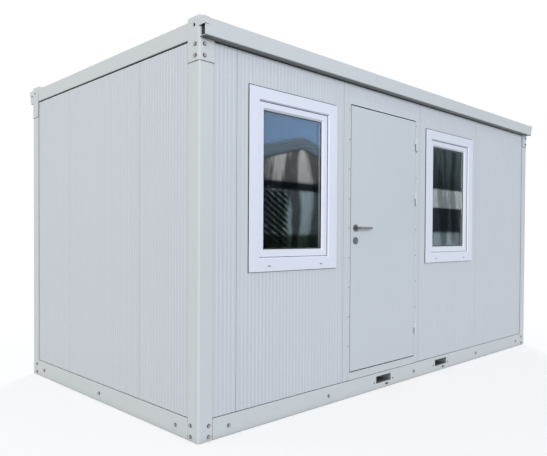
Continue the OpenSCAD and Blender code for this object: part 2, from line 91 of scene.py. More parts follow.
image_w = 547
image_h = 456
focal_px = 573.8
axis_row_px = 245.0
sensor_w = 36.0
eye = Vector((-4.252, -3.830, 1.203))
yaw = math.radians(44.266)
pitch = math.radians(-0.914)
roll = math.radians(0.308)

ahead = Vector((math.sin(yaw) * math.cos(pitch), math.cos(yaw) * math.cos(pitch), math.sin(pitch)))
level_right = Vector((math.cos(yaw), -math.sin(yaw), 0.0))
level_up = level_right.cross(ahead)
right = level_right * math.cos(roll) + level_up * math.sin(roll)
up = level_up * math.cos(roll) - level_right * math.sin(roll)

camera_data = bpy.data.cameras.new("photo_camera")
camera_data.sensor_width = sensor_w
camera_data.lens = sensor_w * focal_px / image_w
camera_data.shift_y = (axis_row_px - image_h / 2) / image_w
camera = bpy.data.objects.new("photo_camera", camera_data)
bpy.context.scene.collection.objects.link(camera)
camera.matrix_world = Matrix.Translation(eye) @ Matrix((right, up, -ahead)).transposed().to_4x4()
bpy.context.scene.camera = camera
print("lens:", round(camera_data.lens, 2), "mm, shift:", round(camera_data.shift_y, 4))

# %% [markdown]
# ## A short way to place shader nodes
#
# Every finish below is a small graph of nodes. Written out, each node takes a line to make it, one for each
# setting and one for each link. One helper does all three at once: a plain value goes into a socket, and a
# socket of another node becomes a link. Another links into a node that is there already.

# %% Helpers for nodes
def put(tree, kind, inputs=None, **settings):
    """Adds a node, sets its properties, then fills or links its inputs by name or number."""
    made = tree.nodes.new(kind)
    for key, value in settings.items():
        setattr(made, key, value)
    for key, value in (inputs or {}).items():
        if isinstance(value, bpy.types.NodeSocket):
            tree.links.new(value, made.inputs[key])
        else:
            made.inputs[key].default_value = value
    return made


def wire(node, sockets):
    """Links one socket into each named input of a node that is there already."""
    for label, socket in sockets.items():
        node.id_data.links.new(socket, node.inputs[label])


print("node helpers: put, wire")

# %% [markdown]
# Most nodes in a finish do a small sum or mix two colours. Each could be placed by hand, but then the graph
# hides what is worked out. So each sum gets a short name, and its node goes into the tree that its sockets
# belong to. A formula then reads as one line. The last helper is the noise that varies nearly every finish.

# %% Sums, mixes and noise
def math_node(operation, first, second=0.0, clamp=False):
    """One sum on two values, as the socket that holds its result. It goes where its first socket is."""
    tree = (first if isinstance(first, bpy.types.NodeSocket) else second).id_data
    made = put(tree, "ShaderNodeMath", {0: first, 1: second}, operation=operation, use_clamp=clamp)
    return made.outputs[0]


def times(first, second, clamp=False):
    """The product of two values, as a socket."""
    return math_node("MULTIPLY", first, second, clamp)


def plus(first, second, clamp=False):
    """The sum of two values, as a socket."""
    return math_node("ADD", first, second, clamp)


def minus(first, second):
    """The difference of two values, as a socket."""
    return math_node("SUBTRACT", first, second)


def blend_colours(share, first, second):
    """Mixes two colours by a share, as the socket that holds the result."""
    made = put(share.id_data, "ShaderNodeMix", {0: share, 6: first, 7: second}, data_type="RGBA")
    return made.outputs[2]


def tint(colour, amount):
    """A colour made lighter or darker by a factor, as a socket."""
    made = put(amount.id_data, "ShaderNodeVectorMath", {0: colour, "Scale": amount}, operation="SCALE")
    return made.outputs[0]


def object_noise(tree, scale, detail=2.0, stretch=(1.0, 1.0, 1.0), bend=0.0):
    """Noise fixed to the object, as a socket that runs from zero to one around a half."""
    place = put(tree, "ShaderNodeTexCoord").outputs["Object"]
    drawn = put(tree, "ShaderNodeMapping", {"Vector": place, "Scale": stretch})
    return put(tree, "ShaderNodeTexNoise", {"Vector": drawn.outputs[0], "Scale": scale, "Detail": detail,
                                            "Distortion": bend}).outputs[0]


print("node helpers: math_node, times, plus, minus, blend_colours, tint, object_noise")

# %% [markdown]
# ## Sky
#
# A product picture shows its object on white. One way is to pour in light until the background clips, but
# the pale walls would clip with it. Here the sky answers rays in two ways instead. A ray that comes
# straight from the camera, or by a mirror or a pane, finds white. A ray that only carries light finds a
# soft grey sky, so the walls keep their tone and the eaves keep their shade.

# %% Sky
white = (1.0, 1.0, 1.0, 1.0)
sky_colour = (0.90, 0.95, 1.0, 1.0)
sky_strength = 0.62


def empty_tree(owner):
    """The node tree of a world or a material, with nothing in it yet."""
    owner.use_nodes = True
    owner.node_tree.nodes.clear()
    return owner.node_tree


def seen_directly(tree):
    """One for a ray from the camera, a mirror or a pane, and zero for a ray that only carries light."""
    path = put(tree, "ShaderNodeLightPath")
    seen = math_node("MAXIMUM", path.outputs["Is Camera Ray"], path.outputs["Is Glossy Ray"])
    return math_node("MAXIMUM", seen, path.outputs["Is Transmission Ray"])


sky = bpy.data.worlds.new("soft_sky")
sky_tree = empty_tree(sky)
sky_light = put(sky_tree, "ShaderNodeBackground", {"Color": sky_colour, "Strength": sky_strength})
sky_white = put(sky_tree, "ShaderNodeBackground", {"Color": white, "Strength": 1.0})
sky_mix = put(sky_tree, "ShaderNodeMixShader",
              {0: seen_directly(sky_tree), 1: sky_light.outputs[0], 2: sky_white.outputs[0]})
put(sky_tree, "ShaderNodeOutputWorld", {"Surface": sky_mix.outputs[0]})
bpy.context.scene.world = sky
bpy.context.scene.view_settings.view_transform = "Standard"
print("sky strength for light:", sky_strength)

# %% [markdown]
# ## Floor
#
# The floor is a wide pale sheet, a hair under the cabin so that no two faces lie in one plane. A mesh
# primitive could be added with an operator, but operators depend on what is selected. Four corners and one
# face say it all.

# %% Floor sheet
floor_half = 40.0
floor_drop = 0.001
floor_signs = ((-1, -1), (1, -1), (1, 1), (-1, 1))


def studio_plane(name, corners):
    """A flat face with four corners that stands in the studio."""
    mesh = bpy.data.meshes.new(name)
    mesh.from_pydata(corners, [], [(0, 1, 2, 3)])
    made = bpy.data.objects.new(name, mesh)
    bpy.context.scene.collection.objects.link(made)
    return made


floor_corners = [(x * floor_half, y * floor_half, -floor_drop) for x, y in floor_signs]
studio_floor = studio_plane("studio_floor", floor_corners)
print("floor:", 2 * floor_half, "m across")

# %% [markdown]
# Near the cabin the floor shows a soft shadow, with a glow that lifts it close to white, and further out it
# fades to pure white, so no horizon shows. A shadow catcher could do this too, but it needs a compositor to
# lay the white behind it. Rays that only carry light find a darker ground, because a white floor would
# light the eaves from below.

# %% Floor finish
ground_colour = (0.22, 0.22, 0.215, 1.0)
floor_colour = (0.45, 0.45, 0.45, 1.0)
floor_glow = 0.60
fade_start = 2.6
fade_end = 4.6

floor_finish = bpy.data.materials.new("pale_floor")
floor_tree = empty_tree(floor_finish)
ground = put(floor_tree, "ShaderNodeBsdfDiffuse", {"Color": ground_colour})
pale = put(floor_tree, "ShaderNodeBsdfDiffuse", {"Color": floor_colour})
glow = put(floor_tree, "ShaderNodeEmission", {"Color": white, "Strength": floor_glow})
pale_glow = put(floor_tree, "ShaderNodeAddShader", {0: pale.outputs[0], 1: glow.outputs[0]})
pure = put(floor_tree, "ShaderNodeEmission", {"Color": white, "Strength": 1.0})
floor_place = put(floor_tree, "ShaderNodeTexCoord").outputs["Object"]
away = put(floor_tree, "ShaderNodeVectorMath", {0: floor_place}, operation="LENGTH").outputs["Value"]
fade = put(floor_tree, "ShaderNodeMapRange", {0: away, 1: fade_start, 2: fade_end},
           interpolation_type="SMOOTHSTEP")
pale_fade = put(floor_tree, "ShaderNodeMixShader",
                {0: fade.outputs[0], 1: pale_glow.outputs[0], 2: pure.outputs[0]})
floor_mix = put(floor_tree, "ShaderNodeMixShader",
                {0: seen_directly(floor_tree), 1: ground.outputs[0], 2: pale_fade.outputs[0]})
put(floor_tree, "ShaderNodeOutputMaterial", {"Surface": floor_mix.outputs[0]})
studio_floor.data.materials.append(floor_finish)
print("floor fades to white from", fade_start, "to", fade_end, "m")

# %% [markdown]
# ## Lamps
#
# The cabin stands under a bright, even sky: its end wall is a neutral pale grey and its front is a little
# cooler. A sun lamp would draw hard shadows that such light doesn't have, so three wide area lamps do the
# work. They stand far off and low, so that a wall is as bright at its head as at its foot, and they rake
# along the walls, which brings out the ribs. Mirror rays don't see the lamps, or each would lay a bright
# patch on the satin paint.

# %% Lamps
def soft_lamp(name, place, aim, width, power, colour):
    """A square area lamp that points at a place."""
    data = bpy.data.lights.new(name, "AREA")
    data.shape = "SQUARE"
    data.size = width
    data.energy = power
    data.color = colour
    lamp = bpy.data.objects.new(name, data)
    lamp.location = place
    lamp.rotation_euler = (Vector(aim) - Vector(place)).to_track_quat("-Z", "Y").to_euler()
    lamp.visible_glossy = False
    bpy.context.scene.collection.objects.link(lamp)
    return lamp


cabin_middle = (cad_box[0] + cad_box[1]) / 2
lamp_w = 16.0
soft_lamp("end_lamp", (-34.0, 30.0, 8.0), cabin_middle, lamp_w, 4400.0, (1.0, 0.94, 0.82))
soft_lamp("front_lamp", (-26.0, -36.0, 9.0), cabin_middle, lamp_w, 14300.0, (0.915, 0.935, 1.0))
soft_lamp("back_lamp", (32.0, 26.0, 12.0), cabin_middle, lamp_w, 10800.0, (0.95, 0.98, 1.0))

# %% [markdown]
# ## Something for the glass to mirror
#
# Window glass looks dark because it mirrors a little of what stands opposite, with a dim room behind it. In
# an all-white studio it would look like grey plastic. Photographers stand a card opposite the glass. This
# one is a wide wall that only rays from a mirror or a pane can see, so it neither lights the cabin nor
# shows in the picture. An image texture could go on it, but that would tie the cabin to one place.

# %% Card that only mirror rays see
card_half_w = 26.0
card_y = -9.5
card_top = 8.0

card_corners = [(-card_half_w, card_y, 0.0), (card_half_w, card_y, 0.0),
                (card_half_w, card_y, card_top), (-card_half_w, card_y, card_top)]
graded_card = studio_plane("graded_card", card_corners)
graded_card.visible_camera = False
graded_card.visible_diffuse = False
graded_card.visible_shadow = False

card_finish = bpy.data.materials.new("graded_card")
card_tree = empty_tree(card_finish)
card_place = put(card_tree, "ShaderNodeTexCoord").outputs["Object"]
card_axes = put(card_tree, "ShaderNodeSeparateXYZ", {0: card_place})
card_x = card_axes.outputs["X"]
card_z = card_axes.outputs["Z"]
print("card:", 2 * card_half_w, "m wide, seen by mirror and pane rays only")

# %% [markdown]
# The low part of the card has pale and dark bands, one set near the cabin and another far off to the right.
# Each set is a short list of heights and colours. A Color Ramp holds the list, so the card needs one face
# only, where strips of mesh would need a face for each band.

# %% Bands of the card
near_bands = ((0.0, (0.06, 0.10, 0.08)), (1.18, (0.10, 0.16, 0.12)), (1.30, (0.90, 1.10, 1.20)),
              (2.42, (1.20, 1.50, 1.65)), (2.50, (0.07, 0.09, 0.11)), (2.66, (0.07, 0.09, 0.11)),
              (2.74, (1.70, 1.68, 1.70)), (3.60, (2.30, 2.20, 2.20)))
far_bands = ((0.0, (0.90, 1.10, 1.20)), (1.30, (0.80, 1.00, 1.10)), (1.42, (0.08, 0.10, 0.12)),
             (2.25, (0.10, 0.12, 0.15)), (2.31, (1.40, 1.52, 1.55)), (2.93, (1.55, 1.65, 1.65)),
             (3.00, (0.10, 0.13, 0.14)), (4.80, (0.30, 0.38, 0.42)))
far_edge = (10.5, 11.5)


def band_ramp(height, bands):
    """Colour by height in metres, from a short list of bands."""
    share = math_node("DIVIDE", height, card_top)
    made = put(card_tree, "ShaderNodeValToRGB", {0: share})
    while len(made.color_ramp.elements) < len(bands):
        made.color_ramp.elements.new(0.5)
    for element, (at, colour) in zip(made.color_ramp.elements, bands):
        element.position = at / card_top
        element.color = (*colour, 1.0)
    return made.outputs[0]


def edge_share(value, edge):
    """Zero before an edge, one after it, and a soft step between."""
    return put(card_tree, "ShaderNodeMapRange", {0: value, 1: edge[0], 2: edge[1]},
               interpolation_type="SMOOTHSTEP").outputs[0]


def less(share):
    """What is left of one when a share is taken away."""
    return minus(1.0, share)


far_share = edge_share(card_x, far_edge)
low_part = blend_colours(far_share, band_ramp(card_z, near_bands), band_ramp(card_z, far_bands))
print("bands on the card:", len(near_bands), "near,", len(far_bands), "far")

# %% [markdown]
# Upright bars and slanted lines break up the bands, as things that stand in a yard do. They could be drawn
# one by one. A noise stretched along Z gives the bars, and the fraction of a slanted height gives lines at
# an even pitch. That is enough for the eye to read them as surroundings.

# %% Bars and lines on the card
upright = (2.4, 2.4, 0.45)
bar_detail = 6.0
bar_step = (0.45, 0.55)
bar_tone = (0.25, 1.15)
far_calm = 0.35
line_edge = (6.95, 7.10)
line_top = (2.40, 2.45)
line_slope = 0.6
lines_per_m = 6.0
line_step = (0.2, 0.4)
line_strength = 0.9

bar_noise = object_noise(card_tree, 1.0, bar_detail, upright)
bars = put(card_tree, "ShaderNodeMapRange", {0: bar_noise, 1: bar_step[0], 2: bar_step[1],
                                             3: bar_tone[0], 4: bar_tone[1]}).outputs[0]
calm = times(far_share, far_calm)
bar_share = plus(calm, times(bars, less(calm)))
climb = plus(card_z, times(card_x, line_slope))
steps = math_node("FRACT", times(climb, lines_per_m))
line_left = less(edge_share(card_x, line_edge))
line_zone = times(line_left, less(edge_share(card_z, line_top)))
line_tone = times(edge_share(steps, line_step), line_strength)
line_dark = times(line_zone, line_tone)
low_drawn = tint(low_part, times(bar_share, less(line_dark)))
print("slanted lines on the card:", lines_per_m, "to the metre")

# %% [markdown]
# Over the bands stands a bright sky. Its lower edge falls away on both sides of a ridge, which gives the
# slanted edge that a roof opposite would draw on the glass. The distance from the ridge is added to the
# height, so one ramp can draw both slopes.

# %% Sky of the card
sky_bands = ((3.62, (0.15, 0.18, 0.22)), (3.70, (0.75, 0.95, 1.20)), (3.96, (0.85, 1.10, 1.35)),
             (4.02, (1.14, 1.74, 2.80)), (4.70, (1.10, 1.64, 2.60)), (5.40, (1.00, 1.05, 1.15)))
ridge_x = 7.6
ridge_fall = 0.25
sky_edge = (3.58, 3.66)
blue_edge = (3.5, 5.0)

from_ridge = math_node("ABSOLUTE", minus(card_x, ridge_x))
slanted = plus(card_z, times(from_ridge, ridge_fall))
sky_share = times(edge_share(slanted, sky_edge), less(far_share))
sky_drawn = blend_colours(edge_share(card_x, blue_edge), white, band_ramp(slanted, sky_bands))
card_colour = blend_colours(sky_share, low_drawn, sky_drawn)
card_light = put(card_tree, "ShaderNodeEmission", {"Color": card_colour, "Strength": 1.0})
put(card_tree, "ShaderNodeOutputMaterial", {"Surface": card_light.outputs[0]})
graded_card.data.materials.append(card_finish)
print("bands in the sky of the card:", len(sky_bands))

# %% [markdown]
# ## Shared effects as node groups
#
# Five effects turn up on more than one finish: the film of paint with its faint patches and orange peel,
# rain marks that run down, dust near the ground, edges painted lighter as rubbed paint and as a highlight,
# and corners and undersides painted darker as grime and as shade.
# Copying their nodes into each material would make every later change a hunt. A node group holds one effect
# with named inputs and outputs, and each material places it with its own values.

# %% Helpers for groups
def new_group(name, inputs, outputs):
    """An empty shader group with named sockets, and its two end nodes."""
    group = bpy.data.node_groups.new(name, "ShaderNodeTree")
    for label, kind, value in inputs:
        socket = group.interface.new_socket(label, in_out="INPUT", socket_type="NodeSocket" + kind)
        socket.default_value = value
    for label, kind in outputs:
        group.interface.new_socket(label, in_out="OUTPUT", socket_type="NodeSocket" + kind)
    return group, group.nodes.new("NodeGroupInput"), group.nodes.new("NodeGroupOutput")


def swing(noise, amount):
    """A noise that runs around a half, as a socket that swings around zero by an amount."""
    both_ways = times(minus(noise, 0.5), 2.0)
    return times(both_ways, amount)


def vary(colour, share):
    """A colour made lighter by a share, or darker by a share below zero."""
    return tint(colour, plus(share, 1.0))


print("group helpers: new_group, swing, vary")

# %% [markdown]
# Paint on sheet steel is never one even tone. Its film has patches that are a shade lighter or darker, a
# fine orange peel from spraying, and the sheet under it is slightly wavy. The group gives the varied
# colour, a varied roughness and one height for the bump, in millimetres.

# %% Paint film group
patch_detail = 3.0
peel_scale = 420.0
wave_scale = 2.6
wave_detail = 1.0
film_rough_swing = 0.10

paint_film, film_in, film_out = new_group(
    "paint_film",
    [("Colour", "Color", white), ("Tone", "Float", 0.03), ("Patch scale", "Float", 1.6),
     ("Roughness", "Float", 0.4), ("Peel", "Float", 0.02), ("Wave", "Float", 0.5)],
    [("Colour", "Color"), ("Roughness", "Float"), ("Height", "Float")])
patch = object_noise(paint_film, film_in.outputs["Patch scale"], patch_detail)
tone_swing = swing(patch, film_in.outputs["Tone"])
rough_swing = swing(patch, film_rough_swing)
peel = times(object_noise(paint_film, peel_scale), film_in.outputs["Peel"])
wave_noise = object_noise(paint_film, wave_scale, wave_detail)
wave = times(wave_noise, film_in.outputs["Wave"])
wire(film_out, {
    "Colour": vary(film_in.outputs["Colour"], tone_swing),
    "Roughness": plus(film_in.outputs["Roughness"], rough_swing, clamp=True),
    "Height": plus(peel, wave)})
print("group:", paint_film.name, [socket.name for socket in film_out.inputs if socket.name])

# %% [markdown]
# Rain carries dust down a wall in thin upright marks. They could be painted by hand on a texture. A noise
# stretched along Z draws them on every wall at once, and they stay upright wherever a piece stands.

# %% Rain group
streak_stretch = (36.0, 36.0, 0.7)
streak_detail = 3.0

rain_marks, rain_in, rain_out = new_group(
    "rain_marks", [("Colour", "Color", white), ("Amount", "Float", 0.03)], [("Colour", "Color")])
streak = object_noise(rain_marks, 1.0, streak_detail, streak_stretch)
streak_swing = swing(streak, rain_in.outputs["Amount"])
wire(rain_out, {"Colour": vary(rain_in.outputs["Colour"], streak_swing)})
print("group:", rain_marks.name)

# %% [markdown]
# Splashes from the ground leave a pale film along the base. A gradient could be painted on each piece. Here
# it is worked out from the height over the ground and broken up by a noise, so it lands in the right place
# on all of them.

# %% Dust group
dust_scale = 14.0
dust_detail = 4.0
dust_power = 2.0

site_dust, dust_in, dust_out = new_group(
    "site_dust",
    [("Colour", "Color", white), ("Dust", "Color", (0.50, 0.47, 0.41, 1.0)), ("Amount", "Float", 0.2),
     ("Height", "Float", 0.5)],
    [("Colour", "Color"), ("Mask", "Float")])
dust_place = put(site_dust, "ShaderNodeTexCoord").outputs["Object"]
dust_z = put(site_dust, "ShaderNodeSeparateXYZ", {0: dust_place}).outputs["Z"]
dust_fall = math_node("DIVIDE", dust_z, dust_in.outputs["Height"], clamp=True)
dust_low = math_node("POWER", minus(1.0, dust_fall), dust_power)
dust_cloud = times(dust_low, object_noise(site_dust, dust_scale, dust_detail))
dust_mask = times(dust_cloud, dust_in.outputs["Amount"], clamp=True)
wire(dust_out, {
    "Colour": blend_colours(dust_mask, dust_in.outputs["Colour"], dust_in.outputs["Dust"]),
    "Mask": dust_mask})
print("group:", site_dust.name)

# %% [markdown]
# Edges of painted steel are painted a little lighter, partly as rubbed paint and partly as a highlight
# along the edge. They could be found by eye and painted. The Bevel node gives a normal that is rounded near
# an edge, so where it leaves the true normal there is an edge, and the lighter paint follows every piece by
# itself.

# %% Edge group
bevel_samples = 4
edge_gain = 6.0
wear_scale = 60.0
wear_detail = 3.0

edge_rub_and_highlight, rub_and_highlight_in, rub_and_highlight_out = new_group(
    "edge_rub_and_highlight",
    [("Colour", "Color", white), ("Rubbed and highlit", "Color", white), ("Amount", "Float", 0.3),
     ("Radius", "Float", 0.004)],
    [("Colour", "Color"), ("Mask", "Float")])
round_normal = put(edge_rub_and_highlight, "ShaderNodeBevel", {"Radius": rub_and_highlight_in.outputs["Radius"]}, samples=bevel_samples)
true_normal = put(edge_rub_and_highlight, "ShaderNodeNewGeometry").outputs["Normal"]
alike = put(edge_rub_and_highlight, "ShaderNodeVectorMath", {0: round_normal.outputs[0], 1: true_normal},
            operation="DOT_PRODUCT").outputs["Value"]
# The lighter edge is partly rubbed paint and partly a painted highlight.
edge = times(minus(1.0, alike), edge_gain, clamp=True)
worn_and_highlit = times(edge, object_noise(edge_rub_and_highlight, wear_scale, wear_detail))
rub_and_highlight_mask = times(worn_and_highlit, rub_and_highlight_in.outputs["Amount"], clamp=True)
wire(rub_and_highlight_out, {
    "Colour": blend_colours(rub_and_highlight_mask, rub_and_highlight_in.outputs["Colour"], rub_and_highlight_in.outputs["Rubbed and highlit"]),
    "Mask": rub_and_highlight_mask})
print("group:", edge_rub_and_highlight.name)

# %% [markdown]
# Corners where two pieces meet are painted darker, partly as grime and partly as the shade that falls
# there, and faces that look down are painted darker as shade. The Ambient Occlusion node finds corners by
# how much of the sky a point loses nearby, and the height of the normal tells which faces look down. A
# painted mask could do it for one piece, but this works on all of them.

# %% Corner group
sky_samples = 6
corner_power = 2.0

corner_shade_and_grime, shade_and_grime_in, shade_and_grime_out = new_group(
    "corner_shade_and_grime",
    [("Colour", "Color", white), ("Shade and grime", "Color", (0.10, 0.10, 0.09, 1.0)), ("Amount", "Float", 0.4),
     ("Reach", "Float", 0.02), ("Under", "Float", 0.0)],
    [("Colour", "Color"), ("Mask", "Float")])
open_sky = put(corner_shade_and_grime, "ShaderNodeAmbientOcclusion", {"Distance": shade_and_grime_in.outputs["Reach"]},
               samples=sky_samples)
# Corners that lose sky nearby are painted darker, as grime and as shade.
closed = minus(1.0, open_sky.outputs["AO"])
corner_share = math_node("POWER", closed, corner_power)
shade_in_corner = times(corner_share, shade_and_grime_in.outputs["Amount"])
# Faces that look down get painted shade.
face_normal = put(corner_shade_and_grime, "ShaderNodeNewGeometry").outputs["Normal"]
face_up = put(corner_shade_and_grime, "ShaderNodeSeparateXYZ", {0: face_normal}).outputs["Z"]
face_down = times(face_up, -1.0, clamp=True)
shade_from_under = times(face_down, shade_and_grime_in.outputs["Under"])
shade_and_grime_mask = plus(shade_in_corner, shade_from_under, clamp=True)
wire(shade_and_grime_out, {
    "Colour": blend_colours(shade_and_grime_mask, shade_and_grime_in.outputs["Colour"], shade_and_grime_in.outputs["Shade and grime"]),
    "Mask": shade_and_grime_mask})
print("group:", corner_shade_and_grime.name)

# %% [markdown]
# ## Painted steel and plastic
#
# Frame, walls, door and window plastic are all a film on a smooth base, so one function builds them from
# the groups. The order matters: the film comes first, rain and dust lie on it, grime and painted shade
# gather last, and edges painted lighter, as rubbed paint and as a highlight, cut through everything.

# %% Helpers for finishes
millimetre = 0.001
rub_and_highlight_lift = 1.12


def finish_start(name):
    """A new material, its node tree and its main shader."""
    made = bpy.data.materials.new(name)
    made.use_nodes = True
    return made, made.node_tree, made.node_tree.nodes["Principled BSDF"]


def grouped(tree, group, values):
    """Places a node group in a material with its own values."""
    return put(tree, "ShaderNodeGroup", values, node_tree=group)


def relief(height, distance, strength=1.0):
    """A bump from a height, as the socket of its normal."""
    values = {"Height": height, "Strength": strength, "Distance": distance}
    return put(height.id_data, "ShaderNodeBump", values).outputs[0]


def painted(name, colour, roughness, tone=0.02, peel=0.02, wave=0.6, rain=0.015, dust=0.2, grime_and_shade=0.5,
            reach=0.02, under=0.0, rub=0.3, grime_and_shade_colour=(0.10, 0.10, 0.09)):
    """A film of paint or plastic with patches, rain marks, dust, corners and undersides painted darker as
    grime and shade, and edges painted lighter as rubbed paint and highlight.
    """
    made, tree, shader = finish_start(name)
    film = grouped(tree, paint_film, {"Colour": (*colour, 1.0), "Tone": tone, "Roughness": roughness,
                                      "Peel": peel, "Wave": wave})
    rained = grouped(tree, rain_marks, {"Colour": film.outputs["Colour"], "Amount": rain})
    dusted = grouped(tree, site_dust, {"Colour": rained.outputs["Colour"], "Amount": dust})
    # The corner group paints corners darker as grime and shade, and under paints shade on faces that look
    # down.
    grimed_and_shaded = grouped(tree, corner_shade_and_grime, {"Colour": dusted.outputs["Colour"], "Shade and grime": (*grime_and_shade_colour, 1.0),
                                          "Amount": grime_and_shade, "Reach": reach, "Under": under})
    # Edges are painted lighter, partly as rubbed paint and partly as a highlight.
    rub_and_highlight_colour = (*[min(1.0, rub_and_highlight_lift * value) for value in colour], 1.0)
    rubbed_and_highlit = grouped(tree, edge_rub_and_highlight, {"Colour": grimed_and_shaded.outputs["Colour"], "Rubbed and highlit": rub_and_highlight_colour,
                                      "Amount": rub})
    wire(shader, {"Base Color": rubbed_and_highlit.outputs["Colour"], "Roughness": film.outputs["Roughness"],
                  "Normal": relief(film.outputs["Height"], millimetre)})
    return made


print("finish helpers: finish_start, grouped, relief, painted")

# %% [markdown]
# What differs from one painted piece to the next is the colour, the gloss and how much each effect shows.
# The frame gets painted shade under its rails, the fork pockets painted shade deep inside, and window
# plastic stays clean. Each slot of the frame gets one line with its own values, and the rest come from the
# function.

# %% Painted finishes
# grime and reach set how dark the corners are painted, as grime and shade; under sets the painted shade on
# faces that look down.
paints = {
    "frame_steel": ((0.595, 0.625, 0.630), 0.38,
                    {"dust": 0.05, "grime_and_shade": 0.85, "reach": 0.06, "under": 0.75}),
    # The fork pockets get a near-black corner colour with a long reach, which paints the shade deep inside
    # them.
    "pocket_steel": ((0.30, 0.32, 0.33), 0.55,
                     {"dust": 0.1, "grime_and_shade": 1.0, "reach": 0.14, "grime_and_shade_colour": (0.02, 0.02, 0.02)}),
    "wall_panel": ((0.578, 0.605, 0.634), 0.42, {"wave": 1.2, "rain": 0.012, "grime_and_shade": 0.8}),
    "inner_lining": ((0.70, 0.70, 0.69), 0.42, {"rain": 0.0, "dust": 0.05}),
    "door_frame": ((0.600, 0.630, 0.650), 0.40, {}),
    "sill_metal": ((0.600, 0.630, 0.640), 0.40, {"dust": 0.4}),
    "door_paint": ((0.580, 0.612, 0.635), 0.36, {"wave": 1.6}),
    "hinge_steel": ((0.600, 0.630, 0.650), 0.38, {"grime_and_shade": 0.15}),
    "window_white": ((0.745, 0.768, 0.850), 0.32, {"tone": 0.008, "peel": 0.004, "wave": 0.2, "rain": 0.004,
                                                   "dust": 0.0, "grime_and_shade": 0.35, "rub": 0.1}),
}
finishes = {slot: painted(slot, colour, roughness, **extra)
            for slot, (colour, roughness, extra) in paints.items()}
clean = {"wave": 0.1, "rain": 0.0, "dust": 0.0, "rub": 0.0}
# spacer_grey_painted_light is paler than the spacer metal, as painted light: the panes hold back the light
# that would reach it.
spacer_grey_painted_light = painted("spacer_grey_painted_light", (0.80, 0.81, 0.83), 0.45, **clean)
# sealant_shade_grey is a dark grey that paints the shade beside the posts and under the legs.
sealant_shade_grey = painted("sealant_shade_grey", (0.19, 0.195, 0.195), 0.60, grime_and_shade=0.0, **clean)
print("painted finishes:", sorted(finishes), spacer_grey_painted_light.name, sealant_shade_grey.name)

# %% [markdown]
# ## Bare metals
#
# Brushed steel has fine lines that stretch every highlight, and zinc plate is dull and a little blotchy.
# Lines and blotches could be two effects, but they are one noise that differs only in its stretch, so they
# share a group.

# %% Metal grain group
grain_detail = 4.0

metal_grain, grain_in, grain_out = new_group(
    "metal_grain",
    [("Colour", "Color", white), ("Stretch", "Vector", (1.0, 1.0, 1.0)), ("Tone", "Float", 0.1),
     ("Roughness", "Float", 0.3)],
    [("Colour", "Color"), ("Roughness", "Float"), ("Height", "Float")])
grain_noise = object_noise(metal_grain, 1.0, grain_detail, grain_in.outputs["Stretch"])
grain_swing = swing(grain_noise, grain_in.outputs["Tone"])
wire(grain_out, {
    "Colour": vary(grain_in.outputs["Colour"], grain_swing),
    "Roughness": plus(grain_in.outputs["Roughness"], grain_swing, clamp=True),
    "Height": grain_noise})
print("group:", metal_grain.name)

# %% [markdown]
# The lever is brushed stainless steel, with its lines along it. Washers and rivets are zinc plated, and the
# bolt heads on the washers are a brighter copy of the same zinc. One metal could do for all, but a bolt
# shows as a bright dot with a dark rim, so the dark zinc of the washers is painted shade and the brighter
# heads are a painted highlight. The corner group paints the rim darker still, as shade.

# %% Metal finishes
metal_grime_and_shade = 0.8
metal_reach = 0.008
along_lever = (30.0, 900.0, 900.0)
blotches = (160.0, 160.0, 160.0)


def bare_metal(name, colour, roughness, stretch, tone, depth):
    """Metal with a grain that follows a stretch, dark in its corners."""
    made, tree, shader = finish_start(name)
    grain = grouped(tree, metal_grain, {"Colour": (*colour, 1.0), "Stretch": stretch, "Tone": tone,
                                        "Roughness": roughness})
    # The corner group paints shade into the corners of the metal.
    grimed_and_shaded = grouped(tree, corner_shade_and_grime, {"Colour": grain.outputs["Colour"], "Amount": metal_grime_and_shade,
                                          "Reach": metal_reach})
    shader.inputs["Metallic"].default_value = 1.0
    wire(shader, {"Base Color": grimed_and_shaded.outputs["Colour"], "Roughness": grain.outputs["Roughness"],
                  "Normal": relief(grain.outputs["Height"], depth)})
    return made


lever_steel = bare_metal("handle_steel", (0.26, 0.255, 0.26), 0.34, along_lever, 0.10, 0.02 * millimetre)
shaded_zinc = bare_metal("shaded_zinc_plate", (0.20, 0.205, 0.21), 0.42, blotches, 0.18, 0.05 * millimetre)
highlight_bolt_steel = bare_metal("highlight_bolt_steel", (0.42, 0.415, 0.41), 0.28, blotches, 0.12, 0.04 * millimetre)
finishes["handle_steel"] = lever_steel
print("metal finishes:", lever_steel.name, shaded_zinc.name, highlight_bolt_steel.name)

# %% [markdown]
# The roof is galvanised sheet. Zinc sets on it in crystal flowers about two centimetres wide, each with its
# own grey. A photo of such a sheet would show its repeat on so large a roof. The cells of a Voronoi texture
# don't repeat, and the colour of each cell sets both the tone and the gloss of a flower.

# %% Galvanised roof sheet
flower_scale = 46.0
roof_dark = (0.40, 0.42, 0.43, 1.0)
roof_light = (0.52, 0.54, 0.55, 1.0)
roof_rain = 0.08
roof_rough = (0.40, 0.58)
roof_metal = 0.75


def spread(share, ends):
    """A share from zero to one laid out between two ends, as a socket."""
    return put(share.id_data, "ShaderNodeMapRange", {0: share, 3: ends[0], 4: ends[1]}).outputs[0]


